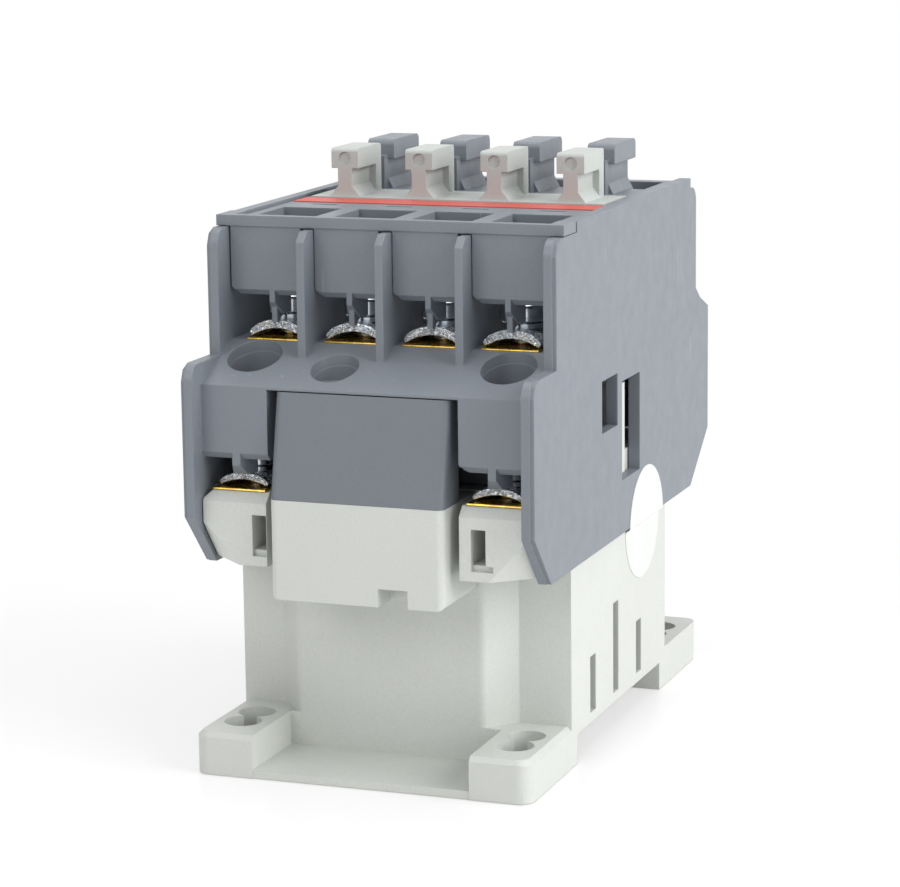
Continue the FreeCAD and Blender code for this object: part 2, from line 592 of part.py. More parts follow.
def main_shelves(body):
    wall, thick = d.block_wall, d.floor_thick
    under = d.shelf_back - thick
    shell = [(-d.block_front, d.block_bottom), (-d.block_front, d.shelf_front),
             (-d.shelf_back_y, d.shelf_back), (-d.inner_near, d.shelf_back),
             (-d.inner_near, under), (-d.shelf_back_y + d.seam_grip, under),
             (-d.block_front + wall, d.shelf_front - thick + d.seam_grip),
             (-d.block_front + wall, d.block_bottom)]
    pad(body, "YZ", -d.panel_inner, d.panel_inner, [shell])
    far_low = d.block_bottom - d.far_block_drop
    far_shell = [(d.far_block, far_low), (d.far_block, d.shelf_front + d.seam_grip),
                 (d.far_shelf_y, d.shelf_back), (d.inner_far, d.shelf_back), (d.inner_far, under),
                 (d.far_shelf_y - d.seam_grip, under),
                 (d.far_block - wall, d.shelf_front - thick + d.seam_grip * 2),
                 (d.far_block - wall, far_low)]
    pad(body, "YZ", -d.panel_inner, d.panel_inner, [far_shell])
    wall_top = d.shelf_back - thick / 2
    far_wall = d.base_far - d.seam_grip
    inner = [box(-d.inner_wall_y, d.wall_seat, -d.inner_wall_y + d.inner_wall, wall_top),
             box(far_wall, d.wall_seat, far_wall + d.inner_wall, wall_top)]
    pad(body, "YZ", -d.panel_inner, d.panel_inner, inner)


def main_recess(body):
    """The room for the coil block, with its walls, and the bevels of the blocks beside it."""
    half, wall = d.recess_half, d.recess_wall
    tubes = [octagon(d.access_x * side, -d.access_y, d.access_r + d.tube_wall) for side in (-1, 1)]
    pad(body, "XY", d.block_bottom, d.shelf_front, tubes)
    pad(body, "XY", d.block_bottom, d.shelf_front,
        [box(-half - wall, -d.recess_back, half + wall, -d.recess_back + d.recess_deep)])
    pad(body, "XY", d.block_bottom, d.shelf_front,
        mirror_pair(box(half, -d.block_front, half + wall, -d.recess_back)))
    pocket(body, "XY", d.block_bottom - BEYOND, d.recess_top,
           [box(-half, -d.block_front - BEYOND, half, -d.recess_back)])
    pocket(body, "YZ", -d.panel_inner, d.panel_inner,
           [corner(-d.block_front, d.block_bottom, d.block_bevel, d.block_bevel)])
    size = d.corner_bevel
    pocket(body, "XZ", -d.block_front - BEYOND, -d.block_front + d.block_wall,
           [corner(half, d.block_bottom, size, size)])


def main_holes_and_fins(body):
    pad(body, "XY", d.recess_top - d.floor_thick, d.shelf_front + d.seat_gap,
        [octagon(-d.blind_x, -d.blind_y + d.inner_wall, d.blind_r + d.bobbin_gap)])
    top = d.shelf_back + BEYOND * 2
    pocket(body, "XY", d.shelf_front, top, circles=[(-d.blind_x, -d.blind_y, d.blind_r)])
    fins = []
    for side in (-1, 1):
        fins.append(plough(d.access_x * side, -d.block_front, d.fin_front, d.fin_back, d.fin_deep))
    pad(body, "XY", d.fin_bottom, d.block_bottom + d.block_bevel + d.seat_gap, fins)
    trim = d.panel_inner - d.slip_gap
    pocket(body, "YZ", -trim, trim,
           [corner(-d.block_front, d.fin_bottom, d.fin_bevel, d.fin_bevel)])
    holes = [(d.access_x * side, -d.access_y, d.access_r) for side in (-1, 1)]
    pocket(body, "XY", d.block_bottom - d.seat_gap, top, circles=holes)
    room = d.shank_r + d.screw_room
    clear = [octagon(cx, -d.screw_y, room) for cx in POLES]
    clear += [octagon(cx, d.far_screw_y, room) for cx in POLES]
    pocket(body, "XY", d.shelf_back - d.floor_thick - BEYOND, d.shelf_back + BEYOND, clear)
    gate = d.lead_gate
    leads = mirror_pair(box(d.lead_x - gate, d.wall_seat - BEYOND, d.lead_x + gate,
                            d.base_rim + gate * 1.5))
    pocket(body, "XZ", -d.inner_wall_y - BEYOND, -d.inner_wall_y + d.inner_wall + BEYOND, leads)


def main_partitions(body):
    half, grip, bevel = d.partition_thick / 2, d.seam_grip, d.partition_bevel
    top, floor = d.panel_top_near - d.rebate_deep / 3, d.shelf_back - grip
    well = d.deck_near + d.deck_near
    fence = [(-d.part_near, d.shelf_front), (-d.part_near, top - bevel),
             (-d.part_near + bevel, top), (-d.cover_near + grip, top),
             (-d.cover_near + grip, d.bay_ceiling), (-well, d.bay_ceiling), (-well, d.well_floor),
             (d.deck_far + d.deck_near, d.well_floor), (d.deck_far + d.deck_near, d.bay_ceiling),
             (d.cover_far - grip, d.bay_ceiling), (d.cover_far - grip, top), (d.part_far, top),
             (d.part_far, d.shelf_front + BEYOND), (d.far_shelf_y, floor), (d.inner_far, floor),
             (d.inner_far, d.beam_top + d.block_bevel), (-d.inner_near, d.beam_top + d.block_bevel),
             (-d.inner_near, floor), (-d.shelf_back_y, floor)]
    for seam in SEAMS:
        pad(body, "YZ", seam - half, seam + half, [fence])


# Top cover: grey moulding with the front lip, screwdriver pockets, well and fixed tee hooks.
def make_cover():
    body = new_body("top_cover")
    cover_walls(body)
    cover_openings(body)
    cover_fins(body)
    cover_hooks(body)
    return body


def cover_walls(body):
    low = d.cover_top - d.cover_plate
    into = low + d.seam_grip
    half, wall, bevel = d.cover_half, d.cover_wall, d.cover_bevel
    pad(body, "XY", low, d.cover_top, [box(-half, -d.cover_near, half, d.cover_far)])
    near_y, far_y = -d.cover_near, d.cover_far
    walls = [[(near_y, d.cover_foot + bevel), (near_y + bevel, d.cover_foot),
              (near_y + wall, d.cover_foot), (near_y + wall, into), (near_y, into)],
             [(far_y, d.cover_foot + bevel), (far_y, into), (far_y - wall, into),
              (far_y - wall, d.cover_foot), (far_y - bevel, d.cover_foot)]]
    pad(body, "YZ", -half, half, walls)
    guard, slip = d.guard_thick, d.slip_gap
    inner = [box(-d.pocket_back, d.pocket_wall_foot, -d.pocket_back + guard, into),
             box(d.far_pocket_near - guard, d.pocket_wall_foot, d.far_pocket_near, into)]
    pad(body, "YZ", -half, half, inner)
    guards = [box(-d.deck_near - slip - guard, d.well_guard, -d.deck_near - slip, into),
              box(d.deck_far + slip, d.well_guard, d.deck_far + slip + guard, into)]
    pad(body, "YZ", -half, half, guards)
    lip = -d.lip_front
    pad(body, "XY", d.lip_under, d.lip_top, [box(-d.housing_half, lip, d.housing_half, lip + d.lip_deep)])
    pad(body, "XY", d.lip_under, d.lip_top,
        mirror_pair(box(d.panel_inner - d.seam_grip, lip, d.housing_half, -d.panel_step_near - d.seam_grip)))


def cover_openings(body):
    low = d.cover_top - d.cover_plate
    holes = []
    for cx in POLES:
        pocket_x = (cx - d.pocket_half, cx + d.pocket_half)
        holes.append(box(pocket_x[0], -d.pocket_near, pocket_x[1], -d.pocket_back))
        holes.append(box(pocket_x[0], d.far_pocket_near, pocket_x[1], d.far_pocket_far))
        holes.append(box(cx - d.label_slot_half, -d.label_slot_y, cx + d.label_slot_half,
                         -d.label_slot_y + d.label_slot_wide))
    holes.append(box(-d.deck_half - d.slip_gap, -d.deck_near - d.slip_gap,
                     d.deck_half + d.slip_gap, d.deck_far + d.slip_gap))
    pocket(body, "XY", low - BEYOND, d.cover_top + BEYOND, holes)
    foot = d.pocket_wall_foot - BEYOND
    slots = [box(seam - d.slot_left, foot, seam + d.slot_right, d.panel_top_near) for seam in SEAMS]
    deep = d.cover_wall + d.bobbin_gap
    pocket(body, "XZ", -d.cover_near - BEYOND, -d.cover_near + deep, slots)
    pocket(body, "XZ", d.cover_far - deep, d.cover_far + BEYOND, slots)
    thin = [box(seam - d.slot_thin, foot, seam + d.slot_thin, d.bay_ceiling + d.seat_gap)
            for seam in SEAMS]
    pocket(body, "XZ", -d.cover_near + d.cover_wall, d.cover_far - d.cover_wall, thin)
    lefts = [-d.cover_half] + [seam + d.slot_right for seam in SEAMS]
    cuts = [corner(left, d.cover_foot, d.corner_bevel, d.corner_bevel) for left in lefts]
    for cut in cuts:
        pocket(body, "XZ", -d.cover_near - BEYOND, -d.cover_near + deep, [cut])


def cover_fins(body):
    fins = [plough(cx, -d.cover_near, d.upper_fin_front, d.upper_fin_back, d.fin_deep) for cx in POLES]
    pad(body, "XY", d.upper_fin_low, d.cover_foot + d.cover_bevel + d.seat_gap, fins)
    pocket(body, "YZ", -d.cover_half, d.cover_half,
           [corner(-d.cover_near, d.upper_fin_low, d.upper_fin_bevel, d.upper_fin_bevel)])


def tee_loop(cx, low, foot):
    """The outline of a tee hook: head, neck and flared foot."""
    head, neck, flare = d.tee_head_half, d.tee_neck_half, d.tee_flare
    waist = foot + d.tee_flare_high
    return [(cx - head, d.tee_top), (cx - head, d.tee_under), (cx - neck, d.tee_under),
            (cx - neck, waist), (cx - flare, low), (cx + flare, low), (cx + neck, waist),
            (cx + neck, d.tee_under), (cx + head, d.tee_under), (cx + head, d.tee_top)]


def cover_hooks(body):
    low = d.cover_top - d.cover_plate + d.seat_gap
    head, neck = d.tee_head_half, d.tee_neck_half
    for cx in POLES:
        pad(body, "XZ", d.grey_front, d.grey_web_back, [tee_loop(cx, low, d.cover_top)])
        pad(body, "YZ", cx - neck, cx + neck,
            [box(d.grey_web_front, low, d.grey_front + d.seam_grip, d.tee_under + d.seam_grip)])
        pad(body, "XZ", d.grey_web_back - d.seat_gap, d.grey_back,
            [box(cx - head, d.tee_under, cx + head, d.tee_top)])
    dress(body, "Fillet", d.grey_round,
          lambda e: near(e.CenterOfMass.z, d.tee_top) and e.BoundBox.YLength < 0.1
          and e.BoundBox.XLength > 3)


# Contact carrier: white moulding that slides in the well and carries hooks, bridges and armature.
def make_carrier():
    body = new_body("contact_carrier")
    carrier_frame(body)
    carrier_windows(body)
    carrier_hooks(body)
    return body


def carrier_frame(body):
    deck_low = d.deck_top - d.deck_thick
    grip = d.seam_grip
    pad(body, "XY", deck_low, d.deck_top, [box(-d.deck_half, -d.deck_near, d.deck_half, d.deck_far)])
    columns = [box(cx - d.column_half, -d.column_near, cx + d.column_half, d.column_far) for cx in POLES]
    pad(body, "XY", d.beam_top - grip, deck_low + grip, columns)
    pad(body, "XY", d.beam_bottom, d.beam_top, [box(-d.beam_half, -d.beam_near, d.beam_half, d.deck_far)])
    pad(body, "XY", d.yoke_bottom, d.beam_bottom,
        [box(-d.yoke_half, -d.yoke_reach, d.yoke_half, d.yoke_reach)])
    lug = d.core_deep + d.seat_gap
    far_lug = lug + d.lug_thick
    pad(body, "XY", d.lug_bottom, d.yoke_bottom,
        [box(-d.lug_half, lug, d.lug_half, far_lug), box(-d.lug_half, -far_lug, d.lug_half, -lug)])
    pocket(body, "XZ", -far_lug - BEYOND, far_lug + BEYOND, circles=[(0, d.pin_z, d.pin_r)])


def bridge_rest():
    """The height of the moving tips while the contacts are open."""
    return d.shelf_back + d.strip_thick + d.tip_thick + d.travel + d.touch_gap


def carrier_windows(body):
    rest = bridge_rest() + d.tip_thick
    windows = [box(cx - d.window_half, rest, cx + d.window_half, d.window_top) for cx in POLES]
    pocket(body, "XZ", -d.column_near - BEYOND, d.column_far + BEYOND, windows)


def carrier_hooks(body):
    head, low = d.tee_head_half, d.deck_top - d.bobbin_gap
    for cx in POLES:
        pad(body, "XZ", -d.tee_front, d.tee_stop + d.seat_gap, [tee_loop(cx, low, d.deck_top)])
        pad(body, "XZ", d.tee_stop, d.tee_back, [box(cx - head, low, cx + head, d.tee_top)])
    pocket(body, "XZ", -d.tee_front - BEYOND, -d.tee_front + d.mark_deep,
           circles=[(cx, d.mark_z, d.mark_r) for cx in POLES])
    dress(body, "Fillet", d.tee_round,
          lambda e: near(e.CenterOfMass.z, d.tee_top) and e.BoundBox.YLength < 0.1
          and e.BoundBox.XLength > 3)


def make_coil_parts():
    block = new_body("coil_block")
    half = d.coil_half
    pad(block, "XY", d.coil_bottom, d.coil_split, [box(-half, -d.coil_front, half, -d.coil_back)])
    dress(block, "Fillet", d.coil_round,
          lambda e: near(abs(e.CenterOfMass.x), d.coil_half)
          and (near(e.CenterOfMass.y, -d.coil_front) or near(e.CenterOfMass.z, d.coil_bottom)))
    pocket(block, "XY", d.coil_bottom - BEYOND, d.coil_notch_top,
           [box(d.coil_notch_left, -d.coil_front - BEYOND, d.coil_notch_right,
                -d.coil_front + d.coil_notch_deep)])
    cap = new_body("coil_cap")
    profile = [(-d.coil_front, d.coil_split), (-d.coil_front + d.cap_lean, d.cap_top),
               (-d.cap_back, d.cap_top), (-d.cap_back, d.coil_split)]
    pad(cap, "YZ", -half, half, [profile])
    dress(cap, "Fillet", d.coil_round,
          lambda e: e.BoundBox.ZLength > 10 and near(abs(e.CenterOfMass.x), d.coil_half)
          and e.CenterOfMass.y < -d.cap_back.value - 2)


def make_magnet():
    make_cores()
    make_rings()
    make_bobbin()
    for side, name in ((-1, "damper_left"), (1, "damper_right")):
        damper = new_body(name)
        pad(damper, "XY", d.floor_top, d.core_low,
            [box(d.damper_in * side, -d.core_deep + BEYOND, d.damper_out * side, d.core_deep - BEYOND)])


def core_loop(pole, yoke, back):
    """The outline of an E-shaped core with its legs ending at pole."""
    half, leg, mid = d.core_half, d.core_leg, d.core_mid_half
    return [(-half, back), (half, back), (half, pole), (half - leg, pole), (half - leg, yoke),
            (mid, yoke), (mid, pole), (-mid, pole), (-mid, yoke), (-half + leg, yoke),
            (-half + leg, pole), (-half, pole)]


def make_cores():
    fixed = new_body("fixed_core")
    pad(fixed, "XZ", -d.core_deep, d.core_deep,
        [core_loop(d.core_pole, d.core_low + d.core_yoke, d.core_low)])
    groove = d.ring_wide + d.shank_gap * 2
    split = d.core_half - d.core_leg / 2
    pocket(fixed, "XZ", -d.core_deep - BEYOND, d.core_deep + BEYOND,
           mirror_pair(box(split - groove / 2, d.ring_low - d.shank_gap,
                           split + groove / 2, d.core_pole + BEYOND)))
    moving = new_body("armature_core")
    pole = d.core_pole + d.travel + d.touch_gap
    pad(moving, "XZ", -d.core_deep, d.core_deep,
        [core_loop(pole, d.armature_top - d.armature_yoke, d.armature_top)])
    pocket(moving, "XZ", -d.core_deep - BEYOND, d.core_deep + BEYOND, circles=[(0, d.pin_z, d.pin_r)])
    pin = new_body("armature_pin")
    pad(pin, "XZ", -d.pin_half, d.pin_half, circles=[(0, d.pin_z, d.pin_r - d.shank_gap)])


def make_rings():
    gap, wide = d.shank_gap, d.ring_wide
    split = d.core_half - d.core_leg / 2
    for side, name in ((-1, "shading_ring_left"), (1, "shading_ring_right")):
        ring = new_body(name)
        reach = d.core_deep + gap + wide
        pad(ring, "XY", d.ring_low, d.ring_high,
            [box((split - wide / 2) * side, -reach, (d.core_half + gap + d.ring_out) * side, reach)])
        pocket(ring, "XY", d.ring_low - BEYOND, d.ring_high + BEYOND,
               [box((split + wide / 2) * side, -d.core_deep - gap,
                    (d.core_half + gap) * side, d.core_deep + gap)])


def make_bobbin():
    gap = d.shank_gap
    bobbin = new_body("coil_bobbin")
    bore_x, bore_y = d.core_mid_half + d.bobbin_gap, d.core_deep + d.bobbin_gap
    wall_x, wall_y = bore_x + d.bobbin_wall, bore_y + d.bobbin_wall
    pad(bobbin, "XY", d.bobbin_low, d.bobbin_high, [box(-wall_x, -wall_y, wall_x, wall_y)])
    flange = [box(-d.flange_x, -d.flange_y, d.flange_x, d.flange_y)]
    pad(bobbin, "XY", d.bobbin_low, d.bobbin_low + d.flange_thick, flange)
    pad(bobbin, "XY", d.bobbin_high - d.flange_thick, d.bobbin_high, flange)
    pocket(bobbin, "XY", d.bobbin_low - BEYOND, d.bobbin_high + BEYOND,
           [box(-bore_x, -bore_y, bore_x, bore_y)])
    winding = new_body("coil_winding")
    low = d.bobbin_low + d.flange_thick + gap
    high = d.bobbin_high - d.flange_thick - gap
    pad(winding, "XY", low, high, [box(-d.winding_x, -d.winding_y, d.winding_x, d.winding_y)])
    dress(winding, "Chamfer", d.winding_round, lambda e: e.BoundBox.ZLength > 5)
    pocket(winding, "XY", low - BEYOND, high + BEYOND,
           [box(-wall_x - gap, -wall_y - gap, wall_x + gap, wall_y + gap)])


def make_contacts():
    plate = d.shelf_back + d.strip_thick
    rest = bridge_rest()
    low = rest + d.tip_thick
    far = d.pole_mid * 2
    ends = (-d.tip_y, d.tip_y + far)
    half = d.tip_half

    def tip_boxes(spots):
        return [box(cx - half, cy - half, cx + half, cy + half) for cx, cy in spots]

    for label, tip_y in zip(("near_tips", "far_tips"), ends):
        tips = new_body(label)
        pad(tips, "XY", plate, plate + d.tip_thick, tip_boxes([(cx, tip_y) for cx in POLES]))
    rows = (("near", -d.strip_near, -d.strip_inner, -d.screw_y),
            ("far", d.strip_inner + far, d.strip_far, d.far_screw_y))
    for number, cx in enumerate(POLES, start=1):
        for label, low_y, high_y, screw in rows:
            strip = new_body("%s_terminal_%d" % (label, number))
            pad(strip, "XY", d.shelf_back, plate, [box(cx - d.strip_half, low_y, cx + d.strip_half, high_y)])
            pocket(strip, "XY", d.shelf_back - BEYOND, plate + BEYOND,
                   [octagon(cx, screw, d.shank_r + d.shank_gap)])
        bridge = new_body("bridge_%d" % number)
        pad(bridge, "XY", low, low + d.bridge_thick,
            [box(cx - d.bridge_half, -d.bridge_end, cx + d.bridge_half, d.bridge_end + far)])
        tips = new_body("bridge_tips_%d" % number)
        pad(tips, "XY", rest, low, tip_boxes([(cx, cy) for cy in ends]))
        seat = low + d.bridge_thick
        spring("contact_spring_%d" % number, (cx, d.pole_mid, seat), d.window_top - seat,
               d.contact_spring_r, d.contact_wire, 3)


def arch(cx, crown, radius, half, foot, thick):
    """The end view of a saddle clamp: an arch of straight runs that stands on two feet."""
    middle = crown - radius
    outer, rise = radius + thick, foot - middle
    inner_x = (radius * radius - rise * rise).root()
    loop = [(cx - half, foot)]
    for share in (-1, -0.6, -0.2, 0.2, 0.6, 1):
        loop.append((cx + half * share, middle + (outer * outer - half * half * (share * share)).root()))
    loop.append((cx + half, foot))
    for share in (1, 0.75, 0.45, 0.15, -0.15, -0.45, -0.75, -1):
        loop.append((cx + inner_x * share,
                     middle + (radius * radius - inner_x * inner_x * (share * share)).root()))
    return loop


def make_clamps(name, centres, y_mid, deep, crown, radius, half, foot, thick):
    body = new_body(name)
    arches = [arch(cx, crown, radius, half, foot, thick) for cx in centres]
    pad(body, "XZ", y_mid - deep / 2, y_mid + deep / 2, arches)
    room = d.shank_r + d.bobbin_gap
    pocket(body, "XY", foot - BEYOND, crown + BEYOND * 3, [octagon(cx, y_mid, room) for cx in centres])
    return body


def make_screws(name, centres, y_mid, foot, washer, low, high, radius, reach):
    """Screws with a captive washer and a crossed slot; the shank has eight flat sides."""
    body = new_body(name)
    pad(body, "XY", foot, low + d.seat_gap, [octagon(cx, y_mid, d.shank_r) for cx in centres])
    pad(body, "XY", washer, low + d.shank_gap, [octagon(cx, y_mid, d.washer_r) for cx in centres])
    pad(body, "XY", low, low + high, circles=[(cx, y_mid, radius) for cx in centres])
    top, half = low + high, d.slot_wide / 2
    pocket(body, "XY", top - d.slot_deep, top + BEYOND,
           [box(cx - half, y_mid - reach, cx + half, y_mid + reach) for cx in centres])
    pocket(body, "XY", top - d.slot_deep, top + BEYOND,
           [box(cx - reach, y_mid - half, cx + reach, y_mid + half) for cx in centres])
    return body


def make_fasteners():
    foot = d.shelf_back + d.strip_thick + d.clamp_lift
    seat = d.clamp_crown + d.clamp_thick + d.shank_gap
    for label, y_mid in (("near", -d.screw_y), ("far", d.far_screw_y)):
        make_clamps(label + "_clamps", POLES, y_mid, d.clamp_deep, d.clamp_crown,
                    d.clamp_inner_r, d.clamp_half, foot, d.clamp_thick)
        make_screws(label + "_screws", POLES, y_mid, d.shank_foot, seat, d.screw_head_low,
                    d.screw_head_high, d.screw_head_r, d.slot_reach)
    sides = [-d.access_x, d.access_x]
    plate_top = d.base_rim + d.coil_plate_thick
    make_clamps("coil_clamps", sides, -d.access_y, d.coil_clamp_deep, d.coil_crown,
                d.coil_clamp_r, d.coil_clamp_half, plate_top + d.clamp_lift, d.coil_clamp_thick)
    make_screws("coil_screws", sides, -d.access_y, d.coil_shank_foot,
                d.coil_crown + d.coil_clamp_thick + d.shank_gap, d.coil_head_low,
                d.coil_head_high, d.coil_head_r, d.coil_slot_reach)
    for cx, label in zip(sides, ("left", "right")):
        plate = new_body("coil_terminal_" + label)
        pad(plate, "XY", d.base_rim, plate_top,
            [box(cx - d.coil_plate_half, -d.coil_plate_near, cx + d.coil_plate_half, -d.coil_plate_far)])
        pocket(plate, "XY", d.base_rim - BEYOND, plate_top + BEYOND,
               [octagon(cx, -d.access_y, d.shank_r + d.shank_gap)])


def make_lead(name, side):
    """A wire from the coil terminal down to the winding."""
    lift = d.base_rim + d.coil_plate_thick + d.lead_r
    near_y = -d.winding_y - d.lead_r - d.shank_gap / 3
    stops = [(d.lead_x * side, -d.coil_plate_far - d.hook_low, lift),
             (d.lead_x * side, -d.coil_plate_far + d.tee_stop - d.bobbin_gap, lift),
             (d.winding_x * side * 0.85, -d.winding_y - d.fin_deep, d.bobbin_high - d.core_leg),
             (d.winding_x * side * 0.7, near_y, d.bobbin_high - d.core_leg - d.fin_deep)]
    spots = [FreeCAD.Vector(*[as_size(part).value for part in stop]) for stop in stops]
    curve = Part.BSplineCurve()
    curve.interpolate(spots)
    return wire_tube(name, curve.discretize(8), d.lead_r.value)


def make_latch():
    body = new_body("rail_latch")
    half, post = d.latch_half, d.latch_post_half
    low, high = d.latch_low, d.latch_high
    pad(body, "XY", low, high, [box(-half, d.rail_far - d.seat_gap, half, d.latch_out)])
    pad(body, "XY", low, d.latch_hook, [box(-half, d.latch_in, half, d.rail_far)])
    room = d.latch_room
    pocket(body, "XY", low - BEYOND, high + BEYOND,
           [box(-room, d.latch_seat, room, d.latch_post + post + d.latch_play)])
    grip = d.latch_out - d.latch_grip * 1.6
    pocket(body, "XY", low - BEYOND, high + BEYOND,
           [box(-d.latch_grip_half, grip, d.latch_grip_half, grip + d.latch_grip)])
    spring("latch_spring", (0, d.latch_seat, (low + high) / 2), d.latch_post - d.latch_seat,
           d.latch_spring_r, d.latch_wire, 5, along_y=True)


def make_markers():
    strip = new_body("marker_strip")
    half = d.marker_half
    pad(strip, "XY", d.cover_top, d.cover_top + d.marker_thick,
        [box(-half, -d.marker_near, half, -d.marker_far)])
    sticker = new_body("round_sticker")
    out, low, thick = d.housing_half, d.base_half, d.sticker_thick
    reach = d.sticker_r + d.sticker_spare
    top, bottom = d.sticker_z + reach, d.sticker_z - reach
    bend = d.panel_foot - d.shank_gap * 2
    fold = bend - d.sticker_drop
    profile = [(out, top), (out, bend), (low, fold), (low, bottom), (low + thick, bottom),
               (low + thick, fold - thick), (out + thick, bend - thick), (out + thick, top)]
    pad(sticker, "XZ", d.sticker_y - reach, d.sticker_y + reach, [profile])
    frame = reach + BEYOND
    pocket(sticker, "YZ", low - BEYOND, out + BEYOND,
           [box(d.sticker_y - frame, d.sticker_z - frame, d.sticker_y + frame, d.sticker_z + frame)],
           [(d.sticker_y, d.sticker_z, d.sticker_r)])


def make_return_springs():
    corners = ((-1, -1), (1, -1), (-1, 1), (1, 1))
    for number, (side, end) in enumerate(corners, start=1):
        spring("return_spring_%d" % number, (d.return_x * side, d.return_y * end, d.bobbin_high),
               d.yoke_bottom - d.bobbin_high, d.return_r, d.return_wire, 4)


make_base()
make_main()
make_cover()
make_carrier()
make_coil_parts()
make_magnet()
make_contacts()
make_fasteners()
make_lead("coil_lead_left", -1)
make_lead("coil_lead_right", 1)
make_return_springs()
make_latch()
make_markers()
doc.recompute()

FAULTS = ("Invalid", "Error")
for item in doc.Objects:
    if any(flag in FAULTS for flag in item.State):
        raise ValueError("%s is %s" % (item.Name, item.State))

nodes = [o for o in doc.Objects if o.TypeId in ("PartDesign::Body", "Part::Feature")]
for node in nodes:
    shape = node.Shape
    if shape.isNull() or not shape.isValid() or not shape.Solids:
        raise ValueError("bad shape: " + node.Label)
    shape.exportStep("parts/%s.step" % node.Label)
    print(node.Label, len(shape.Solids), round(shape.Volume, 2))
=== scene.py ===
import math

import bmesh
import bpy
from mathutils import Matrix, Vector


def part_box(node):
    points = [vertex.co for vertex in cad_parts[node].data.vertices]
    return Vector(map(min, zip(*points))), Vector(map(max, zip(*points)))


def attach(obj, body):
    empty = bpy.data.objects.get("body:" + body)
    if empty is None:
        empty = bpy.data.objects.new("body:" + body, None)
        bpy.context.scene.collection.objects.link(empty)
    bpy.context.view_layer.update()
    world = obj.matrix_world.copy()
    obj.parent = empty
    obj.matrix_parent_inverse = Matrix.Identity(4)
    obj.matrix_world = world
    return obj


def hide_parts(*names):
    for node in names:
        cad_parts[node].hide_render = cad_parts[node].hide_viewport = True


# Looks of the contactor: camera, light, floor, terminal hardware and the materials of every piece.

MM = 0.001

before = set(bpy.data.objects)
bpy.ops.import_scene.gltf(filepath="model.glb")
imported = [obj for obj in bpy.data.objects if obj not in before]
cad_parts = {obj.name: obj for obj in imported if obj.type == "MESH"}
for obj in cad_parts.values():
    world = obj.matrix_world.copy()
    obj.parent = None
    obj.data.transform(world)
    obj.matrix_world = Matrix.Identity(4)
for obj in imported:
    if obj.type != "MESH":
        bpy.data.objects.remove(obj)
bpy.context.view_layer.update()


# Camera, set to the photograph's view

CAMERA_RIGHT = (0.93903, 0.34363, -0.01182)
CAMERA_UP = (-0.05421, 0.18190, 0.98182)
CAMERA_BACK = (0.33953, -0.92132, 0.18944)
CAMERA_PLACE = (0.13316, -0.36608, 0.11001)
SENSOR_MM = 36.0
LENS_MM = 124.47


def add_camera():
    data = bpy.data.cameras.new("camera")
    data.sensor_width = SENSOR_MM
    data.lens = LENS_MM
    data.clip_start = 0.01
    camera = bpy.data.objects.new("camera", data)
    turn = Matrix((CAMERA_RIGHT, CAMERA_UP, CAMERA_BACK)).transposed()
    camera.matrix_world = Matrix.Translation(CAMERA_PLACE) @ turn.to_4x4()
    bpy.context.scene.collection.objects.link(camera)
    bpy.context.scene.camera = camera


# Node helpers


